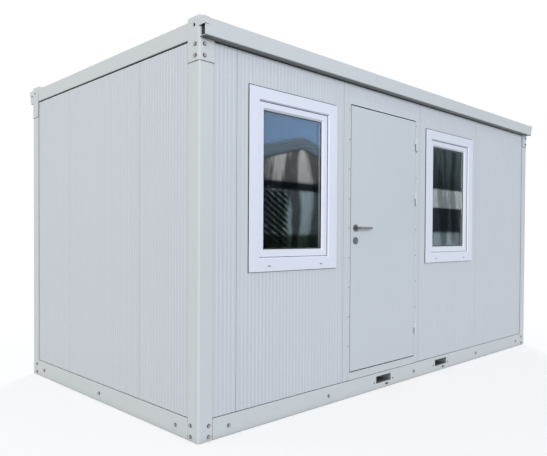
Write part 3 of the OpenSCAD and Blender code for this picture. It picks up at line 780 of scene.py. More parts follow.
roof_finish, roof_tree, roof_shader = finish_start("roof_sheet")
roof_place = put(roof_tree, "ShaderNodeTexCoord").outputs["Object"]
flowers = put(roof_tree, "ShaderNodeTexVoronoi", {"Vector": roof_place, "Scale": flower_scale})
flower_tone = put(roof_tree, "ShaderNodeSeparateColor", {0: flowers.outputs["Color"]}).outputs[0]
roof_colour = blend_colours(flower_tone, roof_dark, roof_light)
roof_rained = grouped(roof_tree, rain_marks, {"Colour": roof_colour, "Amount": roof_rain})
roof_shader.inputs["Metallic"].default_value = roof_metal
wire(roof_shader, {"Base Color": roof_rained.outputs["Colour"],
                   "Roughness": spread(flower_tone, roof_rough)})
finishes["roof_sheet"] = roof_finish
print("galvanised flowers:", round(1000 / flower_scale), "mm across")

# %% [markdown]
# ## Board, rubber and glass
#
# The floor is sealed plywood with long rings of grain. A Wave texture could draw them, but its lines are
# too even, so a noise is stretched along the board and bent. The same noise sets colour, gloss and a low
# relief.

# %% Floor board
board_stretch = (0.6, 7.0, 7.0)
board_scale = 3.0
board_detail = 6.0
board_bend = 1.2
board_dark = (0.20, 0.135, 0.080, 1.0)
board_light = (0.36, 0.265, 0.175, 1.0)
board_rough = (0.42, 0.60)
board_strength = 0.4

board_finish, board_tree, board_shader = finish_start("floor_board")
board_rings = object_noise(board_tree, board_scale, board_detail, board_stretch, board_bend)
wire(board_shader, {
    "Base Color": blend_colours(board_rings, board_dark, board_light),
    "Roughness": spread(board_rings, board_rough),
    "Normal": relief(board_rings, millimetre, board_strength)})
finishes["floor_board"] = board_finish
print("board finish:", board_finish.name)

# %% [markdown]
# Rubber seals are nearly black and matt, with a dusty bloom. Pure black would be simpler, but it swallows
# the shape of a seal. A noise between two dark greys keeps its edges readable.

# %% Rubber
bloom_scale = 35.0
bloom_detail = 4.0
rubber_dark = (0.012, 0.013, 0.014, 1.0)
rubber_light = (0.035, 0.036, 0.037, 1.0)
rubber_rough = (0.55, 0.80)

rubber, rubber_tree, rubber_shader = finish_start("black_rubber")
bloom = object_noise(rubber_tree, bloom_scale, bloom_detail)
wire(rubber_shader, {"Base Color": blend_colours(bloom, rubber_dark, rubber_light),
                     "Roughness": spread(bloom, rubber_rough)})
print("rubber finish:", rubber.name)

# %% [markdown]
# The glass is clear with a faint grey-green cast. It could be a dark mirror, which is quicker to render,
# but a pane gets its look from what it mirrors and from the dim room behind it. So it stays a plain glass
# shader, with a trace of smear in its roughness.

# %% Glass
glass_colour = (0.68, 0.73, 0.73, 1.0)
glass_ior = 1.52
smear_scale = 5.0
smear_detail = 3.0
smear_rough = (0.0, 0.008)

glass_finish, glass_tree, glass_shader = finish_start("window_glass")
glass_shader.inputs["Base Color"].default_value = glass_colour
glass_shader.inputs["Transmission Weight"].default_value = 1.0
glass_shader.inputs["IOR"].default_value = glass_ior
glass_smear = object_noise(glass_tree, smear_scale, smear_detail)
wire(glass_shader, {"Roughness": spread(glass_smear, smear_rough)})
finishes["glass"] = glass_finish
print("glass finish:", glass_finish.name)

# %% [markdown]
# ## Dress the solids of the frame
#
# Posts, rails, corner blocks and the door frame already have their true shape, so they keep their solids
# and only get a finish. A solid from a drawing has knife edges, though, and real steel catches a thin line
# of light along each edge. The solids may not be edited, but a modifier leaves the mesh as it is: Weld
# joins the corners, Decimate joins the thin triangles of a flat face, Bevel rounds the sharp edges, and
# Weighted Normal keeps the flat faces flat.

# %% Finishes and soft edges on the solids
weld_reach = 0.00001
edge_round = {"frame_steel": 0.0010, "pocket_steel": 0.0010, "door_frame": 0.0010, "sill_metal": 0.0015,
              "handle_steel": 0.0010, "hinge_steel": 0.0010, "inner_lining": 0.0010}
edge_segments = 2
sharp_angle = math.radians(40)
flat_angle = math.radians(0.2)
flat_weight = 100

for row in frame["record"]["subparts"]:
    solid = frame["nodes"][row["node"]]
    slot = row["material_slot"]
    solid.data.materials.clear()
    solid.data.materials.append(finishes[slot])
    if slot in edge_round:
        weld = solid.modifiers.new("weld", "WELD")
        weld.merge_threshold = weld_reach
        joined = solid.modifiers.new("join_flats", "DECIMATE")
        joined.decimate_type = "DISSOLVE"
        joined.angle_limit = flat_angle
        soft = solid.modifiers.new("soft_edges", "BEVEL")
        soft.width = edge_round[slot]
        soft.segments = edge_segments
        soft.limit_method = "ANGLE"
        soft.angle_limit = sharp_angle
        flat = solid.modifiers.new("flat_faces", "WEIGHTED_NORMAL")
        flat.weight = flat_weight
print("solids with soft edges:", sum(1 for solid in frame["nodes"].values() if solid.modifiers))

# %% [markdown]
# ## From points to a piece
#
# Every added piece is drawn in a bmesh, Blender's editable mesh. One helper turns it into an object: it
# makes all faces look outward, marks edges sharper than an angle as sharp, gives the piece its finish and
# lets it ride on a body of the frame, so that it moves when the door opens.

# %% Helper that makes a piece
import bmesh

crease_angle = 35


def piece(name, bm, finish, body="cabin"):
    """Turns a bmesh into an object that rides on a body."""
    bmesh.ops.recalc_face_normals(bm, faces=bm.faces)
    mesh = bpy.data.meshes.new(name)
    bm.to_mesh(mesh)
    bm.free()
    mesh.polygons.foreach_set("use_smooth", [True] * len(mesh.polygons))
    mesh.set_sharp_from_angle(angle=math.radians(crease_angle))
    mesh.materials.append(finish)
    made = bpy.data.objects.new(name, mesh)
    bpy.context.scene.collection.objects.link(made)
    flat = made.modifiers.new("flat_faces", "WEIGHTED_NORMAL")
    flat.keep_sharp = True
    flat.weight = flat_weight
    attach(made, body)
    return made


print("edges sharper than", crease_angle, "degrees stay sharp")

# %% [markdown]
# Most pieces are made of two forms: a block with soft edges, and a skin over a row of rings. Operators
# could add a cube and modifiers could round it, but dozens of small blocks would be dozens of objects.
# These two helpers draw into a bmesh, so that any number of them end up in one piece.

# %% Blocks and rings
def add_box(bm, one, other, soft):
    """A block between two opposite corners with rounded edges."""
    low = Vector(map(min, one, other))
    high = Vector(map(max, one, other))
    corners = bmesh.ops.create_cube(bm, size=1.0)["verts"]
    for corner in corners:
        share = corner.co + Vector((0.5, 0.5, 0.5))
        corner.co = Vector(a + (b - a) * t for a, b, t in zip(low, high, share))
    edges = list({edge for corner in corners for edge in corner.link_edges})
    bmesh.ops.bevel(bm, geom=edges, offset=soft, segments=edge_segments, profile=0.5, affect="EDGES")


def join_rings(bm, rings, endless=False):
    """Skins a row of rings of points. An endless row meets its start, another is closed at both ends."""
    pairs = list(zip(rings, rings[1:]))
    if endless:
        pairs.append((rings[-1], rings[0]))
    for ring, after in pairs:
        for k in range(len(ring)):
            m = (k + 1) % len(ring)
            bm.faces.new((ring[k], ring[m], after[m], after[k]))
    if not endless:
        bm.faces.new(rings[0])
        bm.faces.new(rings[-1])


print("form helpers: add_box, join_rings")

# %% [markdown]
# ## Ribbed wall panels
#
# A wall panel is two thin steel skins with foam between them. The skins are rolled with fine ribs, which
# break up the light and stiffen the sheet. The ribs could be a bump, but a bump has no outline and is lost
# in an exported mesh. So the section of the skin is written as steps of place and depth, spread evenly
# between two folded edges.

# %% Rib pattern
rib_pitch = 0.0313
rib_depth = 0.0019
rib_slope_w = 0.0021
rib_floor_w = 0.0133
rib_margin = 0.012
edge_fold = 0.0016


def rib_steps(start, end):
    """Places across a panel and the depth of its skin there."""
    steps = [(start, edge_fold), (start + edge_fold, 0.0)]
    count = int((end - start - 2 * rib_margin) / rib_pitch)
    first = (start + end - count * rib_pitch) / 2
    for index in range(count):
        at = first + index * rib_pitch
        steps += [(at, 0.0), (at + rib_slope_w, rib_depth), (at + rib_slope_w + rib_floor_w, rib_depth),
                  (at + 2 * rib_slope_w + rib_floor_w, 0.0)]
    return steps + [(end - edge_fold, 0.0), (end, edge_fold)]


def depth_at(steps, place):
    """Depth of the skin between two steps of the pattern."""
    for (a, depth_a), (b, depth_b) in zip(steps, steps[1:]):
        if a <= place <= b:
            return depth_a + (depth_b - depth_a) * (place - a) / (b - a)
    return 0.0


print("ribs on a metre of panel:", int(1 / rib_pitch))

# %% [markdown]
# Panels plug into each other with a tongue that leaves a narrow groove at each joint, and some have an
# opening for a window or the door. A Boolean could cut the openings, but it leaves long thin faces. So a
# panel is a grid: its columns follow the ribs, its rows the edges of an opening, and the cells inside an
# opening are left out.

# %% Grid of a panel
inner_rib_share = 0.6
tongue_in = 0.006
tongue_lead = 0.0004


def panel_grid(span, height, thickness, holes, gap):
    """Columns, rows and filled cells of a panel. A hole is (from, to, foot, head)."""
    steps = rib_steps(*span)
    cuts = [(edge, depth_at(steps, edge)) for hole in holes for edge in hole[:2]]
    columns = [(at, depth, thickness - inner_rib_share * depth) for at, depth in sorted(steps + cuts)]
    if gap:
        columns.append((span[1] + tongue_lead, tongue_in, thickness - tongue_in))
        columns.append((span[1] + gap, tongue_in, thickness - tongue_in))
    edges = {edge for hole in holes for edge in hole[2:] if height[0] < edge < height[1]}
    rows = sorted({*height, *edges})
    filled = set()
    for i in range(len(columns) - 1):
        for j in range(len(rows) - 1):
            at = (columns[i][0] + columns[i + 1][0]) / 2
            z = (rows[j] + rows[j + 1]) / 2
            if not any(a < at < b and foot < z < head for a, b, foot, head in holes):
                filled.add((i, j))
    return columns, rows, filled


print("groove between two panels:", tongue_in * 1000, "mm deep")

# %% [markdown]
# Each filled cell of the grid gets a face on the outer skin and one on the inner skin. A Solidify modifier
# could give the thickness, but the two skins have ribs of different depth. Where a cell has no neighbour, a
# face joins both skins, which closes the panel all round.

# %% Panel from its grid
def add_panel(bm, place, span, height, thickness, holes=(), gap=0.0):
    """A closed ribbed panel. place turns (along, depth, height) into a point."""
    columns, rows, filled = panel_grid(span, height, thickness, holes, gap)
    corners = {}

    def corner(i, j, skin):
        if (i, j, skin) not in corners:
            corners[i, j, skin] = bm.verts.new(place(columns[i][0], columns[i][skin], rows[j]))
        return corners[i, j, skin]

    for i, j in sorted(filled):
        loop = [(i, j), (i + 1, j), (i + 1, j + 1), (i, j + 1)]
        for skin in (1, 2):
            bm.faces.new([corner(*spot, skin) for spot in loop])
        beside = [(i, j - 1), (i + 1, j), (i, j + 1), (i - 1, j)]
        for k, cell in enumerate(beside):
            if cell not in filled:
                a = loop[k]
                b = loop[(k + 1) % 4]
                bm.faces.new([corner(*a, 1), corner(*b, 1), corner(*b, 2), corner(*a, 2)])


print("panel helper: add_panel")

# %% [markdown]
# The panels stand where the wall solids do, so each solid's box gives a panel its span, height and
# thickness. The rear and end walls hold several panels in one node. Their joints could be typed in, but the
# node can also be split into its separate islands: start at a corner, walk along the edges as far as they
# lead, and take the box of all corners met on the way.

# %% Boxes of the wall solids
def solid_boxes(node):
    """Boxes of the separate solids in one node, in order along X and then Y."""
    bm = bmesh.new()
    bm.from_mesh(frame["nodes"][node].data)
    bmesh.ops.remove_doubles(bm, verts=bm.verts, dist=weld_reach)
    waiting = set(bm.verts)
    boxes = []
    while waiting:
        todo = [waiting.pop()]
        spots = []
        while todo:
            corner = todo.pop()
            spots.append(corner.co.copy())
            near = {edge.other_vert(corner) for edge in corner.link_edges} & waiting
            waiting -= near
            todo += near
        boxes.append((Vector(map(min, *spots)), Vector(map(max, *spots))))
    bm.free()
    return sorted(boxes, key=lambda box: (round(box[0].x, 4), box[0].y))


front_boxes = {node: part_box(node) for node in frame["nodes"] if node.startswith("front_wall")}
other_boxes = {node: solid_boxes(node) for node in ("rear_wall", "left_wall", "right_wall")}
print("front wall solids:", len(front_boxes))
print("other wall solids:", {node: len(boxes) for node, boxes in other_boxes.items()})

# %% [markdown]
# All four walls are the same kind of thing seen from four sides. Four copies of the code would work, but a
# side can be told by two numbers: the axis that it runs along, and whether inward is up or down the other
# axis. From these a small function places any point of the wall by its distance along, its depth and its
# height. On the front, the three solids round the doorway become one panel with an opening.

# %% Sides and openings of the walls
window_lap = 0.040
FRONT = (0, 1)
REAR = (0, -1)
LEFT = (1, 1)
RIGHT = (1, -1)


def wall_view(box, side):
    """Span along the wall, thickness, and the function that places a point of the wall."""
    along, inward = side
    across = 1 - along
    outer = box[0][across] if inward > 0 else box[1][across]

    def place(at, depth, z):
        spot = [0.0, 0.0, z]
        spot[along] = at
        spot[across] = outer + inward * depth
        return Vector(spot)

    return (box[0][along], box[1][along]), box[1][across] - box[0][across], place


def window_hole(node):
    """Opening in the wall behind a window frame."""
    low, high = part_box(node)
    return (low.x + window_lap, high.x - window_lap, low.z + window_lap, high.z - window_lap)


door_side = front_boxes["front_wall_door_left"]
door_far = front_boxes["front_wall_door_right"]
door_over = front_boxes["front_wall_door_head"]
door_module = (door_side[0], Vector((door_far[1].x, door_far[1].y, door_over[1].z)))
doorway = (door_side[1].x, door_far[0].x, 0.0, door_over[0].z)
front_names = ["filler", "window_left", "door", "window_right", "plain"]
front_row = [door_module if name == "door" else front_boxes["front_wall_" + name] for name in front_names]
front_holes = [[], [window_hole("window_frame_left")], [doorway], [window_hole("window_frame_right")], []]
wall_boxes = {FRONT: front_row, REAR: other_boxes["rear_wall"], LEFT: other_boxes["left_wall"],
              RIGHT: other_boxes["right_wall"]}
print("panels on the four sides:", [len(boxes) for boxes in wall_boxes.values()])

# %% [markdown]
# Now the panels can be drawn. Each is a little smaller than its solid: it leaves a gap at the foot and the
# head for sealing tape, and a hair's breadth at both sides. A groove with a tongue in it follows wherever
# another panel stands next. The finished piece replaces the wall solids, which are then hidden.

# %% Wall panels
foot_gap = 0.004
head_gaps = {FRONT: 0.005, REAR: 0.005, LEFT: 0.007, RIGHT: 0.007}
panel_ease = 0.0006
same_place = 0.004


def joint_gaps(boxes, side):
    """Width of the groove after each panel, zero where no panel follows."""
    starts = [box[0][side[0]] for box in wall_boxes[side]]
    gaps = []
    for box in boxes:
        after = [start - box[1][side[0]] for start in starts if 0 < start - box[1][side[0]] < same_place]
        gaps.append(after[0] if after else 0.0)
    return gaps


def dress_wall(name, boxes, side, holes, nodes):
    """Ribbed panels in place of the wall solids, one piece for the boxes given."""
    bm = bmesh.new()
    for box, openings, gap in zip(boxes, holes, joint_gaps(boxes, side)):
        span, thickness, place = wall_view(box, side)
        eased = (span[0] + panel_ease, span[1] - panel_ease)
        height = (box[0].z + foot_gap, box[1].z - head_gaps[side])
        groove = gap + 2 * panel_ease if gap else 0.0
        add_panel(bm, place, eased, height, thickness, openings, groove)
    made = piece(name, bm, finishes["wall_panel"])
    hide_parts(*nodes)
    return made


for name, box, openings in zip(front_names, front_row, front_holes):
    nodes = [node for node in front_boxes if node.startswith("front_wall_" + name)]
    dress_wall("front_panel_" + name, [box], FRONT, [openings], nodes)
for node, side in (("rear_wall", REAR), ("left_wall", LEFT), ("right_wall", RIGHT)):
    boxes = wall_boxes[side]
    dress_wall(node + "_panels", boxes, side, [[]] * len(boxes), [node])

# %% [markdown]
# Between panel and rail lies a strip of black sealing tape. Its black is painted shade: it draws the thin
# dark line of the shaded gap along the foot and the head of every wall. A dark line in the wall finish
# could stand for it, but only a strip that lies deeper than the panel gives a gap that closes at a slant.
# At the doorway the strip at the foot stops on both sides.

# %% Sealing tape along the panels
seal_in = 0.018
foot_seal_in = 0.003

bm = bmesh.new()
for side, boxes in wall_boxes.items():
    for box in boxes:
        span, thickness, place = wall_view(box, side)
        foot_spans = [span]
        if box is door_module:
            foot_spans = [(span[0], doorway[0]), (doorway[1], span[1])]
        strips = [(part, box[0].z, box[0].z + foot_gap, foot_seal_in) for part in foot_spans]
        strips.append((span, box[1].z - head_gaps[side], box[1].z, seal_in))
        for part, z_low, z_high, front_in in strips:
            add_box(bm, place(part[0], front_in, z_low), place(part[1], thickness - seal_in, z_high),
                    millimetre / 2)
piece("wall_gap_shade_tape", bm, rubber)
print("strips of sealing tape on", sum(len(boxes) for boxes in wall_boxes.values()), "panels")

# %% [markdown]
# Grey sealant closes the walls to the posts, and a bead of it lies under each leg of a corner fitting. Its
# dark grey is painted shade: it draws the shaded step beside a post and the dark line under a leg. At the
# near front corner no line of it shows, so it lies behind the face there. Elsewhere it stands a little
# proud. A curve with a round bevel could draw such beads, but they are so thin that soft blocks look the
# same. A post has a box like a wall, so the same function finds places on its two outer faces.

# %% Sealant at the posts
strip_up = 0.0035
deep_strip_in = 0.001
strip_soft = panel_ease / 4
bead_h = 0.0032
bead_back = 0.007
bead_sink = 0.0004
bead_soft = bead_h / 6

bm = bmesh.new()
for side, boxes in wall_boxes.items():
    along = side[0]
    wall_from = min(box[0][along] for box in boxes)
    wall_to = max(box[1][along] for box in boxes)
    for box in boxes:
        span, thickness, place = wall_view(box, side)
        for post_at, inside in ((span[0], 1), (span[1], -1)):
            if post_at in (wall_from, wall_to):
                deep = side in (FRONT, LEFT) and post_at == wall_from
                add_box(bm, place(post_at, deep_strip_in if deep else -strip_up, box[0].z),
                        place(post_at + inside * panel_ease, thickness - seal_in, box[1].z), strip_soft)
leg_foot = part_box("corner_fitting_front_left")[0].z
for corner in ("front_left", "front_right", "rear_left", "rear_right"):
    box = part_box("post_" + corner)
    for along in (0, 1):
        inward = 1 if box[0][1 - along] < 0 else -1
        span, thickness, place = wall_view(box, (along, inward))
        outer, inner = span if span[0] < 0 else span[::-1]
        start = outer + math.copysign(bead_back, inner - outer)
        add_box(bm, place(start, bead_sink, leg_foot - bead_h), place(inner, -strip_up, leg_foot),
                bead_soft)
piece("post_shade_sealant", bm, sealant_shade_grey)
print("sealant under the legs at", round(leg_foot, 3), "m")

# %% [markdown]
# ## Windows
#
# Each window is welded white plastic: an outer frame that laps over the wall, a sash inside it, black
# rubber between them, and a double pane. A profile like that is the same all the way round, so its section
# is drawn once and swept round a rectangle. The Bevel of a curve could do this, but a sweep by hand lets
# the section differ in width at the head, and lets each mitre dip a little where the welded corner was
# cleaned.

# %% Section and ring helpers
reach_share = 0.4
mitre_w = 0.0012
mitre_dip = 0.0005


def soften(points, radius, steps=2):
    """Rounds every corner of a closed section."""
    out = []
    for before, here, after in zip(points[-1:] + points[:-1], points, points[1:] + points[:1]):
        here = Vector(here)
        ends = []
        for other in (Vector(before), Vector(after)):
            reach = min(radius, reach_share * (other - here).length)
            ends.append(here + (other - here).normalized() * reach)
        for step in range(steps + 1):
            t = step / steps
            out.append(ends[0] * (1 - t) ** 2 + here * 2 * t * (1 - t) + ends[1] * t ** 2)
    return out


def add_ring(bm, low, high, section, head_share=1.0):
    """Sweeps a section of (inset, y) points round the rectangle from low (x, z) to high (x, z)."""
    front = min(y for inset, y in section)
    rings = []
    for inset, y in section:
        left, foot = low[0] + inset, low[1] + inset
        right, head = high[0] - inset, high[1] - inset * head_share
        dip = mitre_dip if y - front < mitre_dip else 0.0
        turns = ((left, foot, 1, 1), (right, foot, -1, 1), (right, head, -1, -1), (left, head, 1, -1))
        ring = []
        for turn, (x, z, dx, dz) in enumerate(turns):
            along = [(x, y, z + dz * mitre_w), (x, y + dip, z), (x + dx * mitre_w, y, z)]
            ring += along if turn % 2 == 0 else along[::-1]
        rings.append([bm.verts.new(spot) for spot in ring])
    join_rings(bm, rings, endless=True)


print("section helpers: soften, add_ring")

# %% [markdown]
# The outer frame is a wide flat face with a sloped inner edge that leads down to the sash. Its face is a
# little narrower at the head, which the ring allows for. Behind it lies a black tape that seals it to the
# ribs of the wall and shows as a dark line round the frame, with a thicker bead over the head; that line is
# also painted shade at the edge of the frame.

# %% Outer frame and tape
face_w = 0.090
head_w = 0.082
frame_edge_r = 0.0030
frame_slope_w = 0.007
frame_slope_in = 0.010
tape_t = 0.003
tape_out = 0.003
tape_soft = tape_out / 3
head_bead_h = 0.007
sash_lap = 0.010
wall_y = front_boxes["front_wall_plain"][0].y
wall_back_y = front_boxes["front_wall_plain"][1].y


def window_frame(hand):
    """The outer frame of one window and the tape behind it."""
    low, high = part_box("window_frame_" + hand)
    frame_low, frame_high = (low.x, low.z), (high.x, high.z)
    outline = [(0.0, wall_y - tape_t), (0.0, low.y), (face_w - frame_slope_w, low.y),
               (face_w, low.y + frame_slope_in), (face_w, wall_y), (face_w - sash_lap, wall_y),
               (face_w - sash_lap, wall_back_y), (window_lap, wall_back_y), (window_lap, wall_y - tape_t)]
    bm = bmesh.new()
    add_ring(bm, frame_low, frame_high, soften(outline, frame_edge_r), head_w / face_w)
    made = piece("window_frame_ring_" + hand, bm, finishes["window_white"])
    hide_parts("window_frame_" + hand)

    bm = bmesh.new()
    tape = [(-tape_out, wall_y), (-tape_out, wall_y - tape_t), (window_lap, wall_y - tape_t),
            (window_lap, wall_y)]
    add_ring(bm, frame_low, frame_high, soften(tape, tape_soft), head_w / face_w)
    add_box(bm, (low.x, wall_y - tape_t, high.z), (high.x, wall_y, high.z + head_bead_h), tape_soft)
    piece("window_tape_" + hand, bm, rubber)


print("window frame:", face_w * 1000, "mm wide,", head_w * 1000, "mm at the head")

# %% [markdown]
# The sash holds the glass between an outer bead that slopes down to the pane and a bead on the room side.
# Its section goes round the groove for the pane, so the glass really sits in it. A plain frame with a dark
# edge painted on would look the same from the front only.

# %% Sashes
sash_gap = 0.002
sash_face_w = 0.052
sash_drop = 0.002
sash_edge_r = 0.0016
bead_w = 0.013
glass_bite = 0.012
glass_drop = 0.017
unit_t = 0.024
room_bead_w = 0.010
rim = sash_face_w + sash_lap - sash_gap


def window_sash(hand):
    """The sash of one window, with a groove for its pane."""
    low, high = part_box("window_sash_" + hand)
    face_y = low.y + sash_drop
    pane_y = low.y + glass_drop
    outline = [(0.0, high.y), (0.0, face_y), (rim - bead_w, face_y), (rim, pane_y - millimetre),
               (rim, pane_y), (rim - glass_bite, pane_y), (rim - glass_bite, pane_y + unit_t),
               (rim, pane_y + unit_t), (rim - room_bead_w, high.y)]
    bm = bmesh.new()
    add_ring(bm, (low.x, low.z), (high.x, high.z), soften(outline, sash_edge_r))
    made = piece("window_sash_ring_" + hand, bm, finishes["window_white"])
    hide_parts("window_sash_" + hand)


for hand in ("left", "right"):
    window_frame(hand)
    window_sash(hand)
print("window frames, tapes and sashes: 2 of each")

# %% [markdown]
# A double pane is two thin sheets of glass held apart by a metal spacer. The solid of the pane is one thick
# block, which would bend light like an aquarium. Two thin sheets mirror twice, a little apart, as real
# windows do, and let the spacer show at a slant inside the edge. The spacer is painted paler than its
# metal, as painted light, because the panes hold back the light that would reach it. Soft black gaskets
# close the sash to the frame and the glass to the sash, and their black line is also painted shade in the
# gaps.

# %% Panes, spacers and gaskets
pane_t = 0.004
pane_soft = pane_t / 10
gasket_w = 0.0035
gasket_up = 0.0020
glass_gasket_w = 0.0030
spacer_show = 0.007
spacer_in = 0.006

pane_bm = bmesh.new()
spacer_bm = bmesh.new()
gasket_bm = bmesh.new()
for hand in ("left", "right"):
    low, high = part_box("window_sash_" + hand)
    sash_low, sash_high = (low.x, low.z), (high.x, high.z)
    edge = rim - glass_bite + millimetre
    pane_y = low.y + glass_drop
    for y in (pane_y, pane_y + unit_t - pane_t):
        add_box(pane_bm, (low.x + edge, y, low.z + edge), (high.x - edge, y + pane_t, high.z - edge),
                pane_soft)
    spacer = [(edge + spacer_in, pane_y + pane_t), (edge + spacer_in, pane_y + unit_t - pane_t),
              (rim + spacer_show, pane_y + unit_t - pane_t), (rim + spacer_show, pane_y + pane_t)]
    add_ring(spacer_bm, sash_low, sash_high, soften(spacer, millimetre))
    start = sash_lap - sash_gap
    lip = [(start - gasket_w / 2, low.y + sash_drop), (start - gasket_w / 2, low.y),
           (start + gasket_w / 3, low.y + sash_drop - gasket_up), (start + gasket_w, low.y + sash_drop)]
    add_ring(gasket_bm, sash_low, sash_high, soften(lip, millimetre))
    for y, out in ((pane_y, -1), (pane_y + unit_t, 1)):
        seat = [(rim - millimetre, y), (rim - millimetre, y + out * glass_gasket_w),
                (rim + glass_gasket_w / 2, y + out * glass_gasket_w), (rim + glass_gasket_w, y)]
        add_ring(gasket_bm, sash_low, sash_high, soften(seat, millimetre / 2))
made = piece("double_panes", pane_bm, finishes["glass"])
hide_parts("window_panes")
piece("pane_spacers", spacer_bm, spacer_grey_painted_light)
piece("window_gaskets", gasket_bm, rubber)
print("pane:", pane_t * 1000, "mm sheets,", round((unit_t - 2 * pane_t) * 1000), "mm apart")

# %% [markdown]
# ## Bolts, rivets and screws
#
# Hex bolts with washers hold posts, rails and corner fittings together, rivets hold the door frame, and
# screws with rubber washers hold the roof sheet. All of them are turned shapes: a short list of radius and
# height steps, spun round an axis with six sides for a hex and more for a round. A Screw modifier could
# spin each one, but one function in a loop joins dozens of them into a single mesh.

# %% Helpers for turned shapes
seat_sink = 0.0004


def add_turned(bm, place, axis, steps, sides, turn=0.0):
    """Spins (radius, height) steps round an axis and closes both ends."""
    axis = Vector(axis).normalized()
    side = axis.orthogonal().normalized()
    cross = axis.cross(side)
    rings = []
    for radius, height in steps:
        ring = []
        for k in range(sides):
            angle = turn + 2 * math.pi * k / sides
            spoke = side * math.cos(angle) + cross * math.sin(angle)
            ring.append(bm.verts.new(Vector(place) + axis * height + spoke * radius))
        rings.append(ring)
    join_rings(bm, rings)


def head_steps(shares, radius, height, foot=0.0, seat=-seat_sink):
    """Steps of a head: its seat, then shares of its radius and of its height over a foot."""
    return [(radius, seat)] + [(radius * r, foot + height * h) for r, h in shares]


print("turning helpers: add_turned, head_steps")

# %% [markdown]
# A bolt is a hex head on a round washer. A spanner leaves each head at its own angle, and heads that all
# stood the same way would look printed. So each is turned by chance, with a fixed seed, which gives the
# same cabin every time. Heads and washers go into two meshes, because they have two finishes.

# %% Bolts
import random

hex_sides = 6
washer_sides = 24
washer_r = 0.0125
washer_t = 0.0022
washer_foot_ease = washer_t * 0.25
washer_edge_h = washer_t * 0.7
washer_edge_ease = washer_t * 0.3
head_r = 0.0105
head_h = 0.0072
head_shares = ((1.0, 0.82), (0.86, 1.0), (0.5, 1.0))
chance = random.Random(7)


def add_bolt(head_bm, washer_bm, place, axis):
    """Hex head on a washer, turned to a chance angle as a spanner leaves it."""
    washer = [(washer_r - washer_foot_ease, -seat_sink), (washer_r, 0.0), (washer_r, washer_edge_h),
              (washer_r - washer_edge_ease, washer_t)]
    add_turned(washer_bm, place, axis, washer, washer_sides)
    hexagon = head_steps(head_shares, head_r, head_h, washer_t, washer_t - seat_sink)
    add_turned(head_bm, place, axis, hexagon, hex_sides, chance.uniform(0, math.pi / 3))


print("bolt head:", round(2 * head_r * math.cos(math.pi / hex_sides) * 1000, 1), "mm across flats")

# %% [markdown]
# The bolts follow a rule on every side: two in the foot of each post, one in the rail next to it, one more
# along a long rail and one in the middle. Two more sit one above the other in each leg of a corner fitting,
# except in the end faces at the rear, where the legs are plain. Each bolt could be placed by hand. Here
# each place is counted from a corner of the cabin, so the sides come out as mirror images of each other.

# %% Frame bolts
post_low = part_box("post_front_left")[0]
post_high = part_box("post_rear_right")[1]
leg_out = -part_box("corner_fitting_front_left")[0].x + post_low.x
foot_bolts = ((0.076, 0.092), (0.076, 0.027), (0.227, 0.061))
long_rail_bolt = (1.155, 0.061)
middle_bolt_z = 0.060
leg_bolts = ((0.034, 2.300), (0.034, 2.235))

bm = bmesh.new()
washer_bm = bmesh.new()
for sign in (-1, 1):
    for half, axis in ((post_high.x, 0), (post_high.y, 1)):
        across = 1 - axis
        outer = post_high[across]
        out_axis = [0.0, 0.0, 0.0]
        out_axis[across] = sign
        spots = [(0.0, middle_bolt_z, 0.0)]
        for end in (-1, 1):
            spots += [(end * (half - inset), z, 0.0) for inset, z in foot_bolts]
            if axis == 0 or end < 0:
                spots += [(end * (half - inset), z, leg_out) for inset, z in leg_bolts]
            if axis == 0:
                spots.append((end * (half - long_rail_bolt[0]), long_rail_bolt[1], 0.0))
        for at, z, proud in spots:
            spot = [0.0, 0.0, z]
            spot[axis] = at
            spot[across] = sign * (outer + proud)
            add_bolt(bm, washer_bm, spot, out_axis)
piece("frame_bolts", bm, highlight_bolt_steel)
piece("frame_washers", washer_bm, shaded_zinc)
print("frame bolts placed from the corner of the posts at", [round(value, 3) for value in post_low])

# %% [markdown]
# Each fork pocket is held by a small bolt on both sides of its mouth. The large bolt could be scaled down,
# but these have no washer, so they get a lower head of their own.

# %% Pocket bolts
pocket_bolt_gap = 0.026
pocket_bolt_z = 0.058
pocket_bolt_r = head_r * 0.62
pocket_bolt_shares = ((1.0, 0.5), (0.8, 0.65))

bm = bmesh.new()
small = head_steps(pocket_bolt_shares, pocket_bolt_r, head_h)
for hand in ("left", "right"):
    low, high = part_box("fork_pocket_" + hand)
    for sign in (-1, 1):
        for at in (low.x - pocket_bolt_gap, high.x + pocket_bolt_gap):
            spot = (at, sign * post_high.y, pocket_bolt_z)
            add_turned(bm, spot, (0, sign, 0), small, hex_sides, chance.uniform(0, 1))
piece("pocket_bolts", bm, shaded_zinc)
print("pocket bolts: 8")

# %% [markdown]
# ## The door leaf
#
# The leaf is a folded steel tray with a second tray pressed into it, so its edges are round and a fine seam
# runs along the middle of each edge. The solid could keep its finish, like the posts, but its faces are cut
# by the hole for the lever, and the shading of one large face would show every line that runs to that hole.
# So the leaf is drawn as rings that step round the edge, with one clean face on each side.

# %% Door leaf
leaf_fold = 0.0025
fold_share = 0.3
seam_half = 0.0012
seam_in = 0.0012
face_margin = 0.020

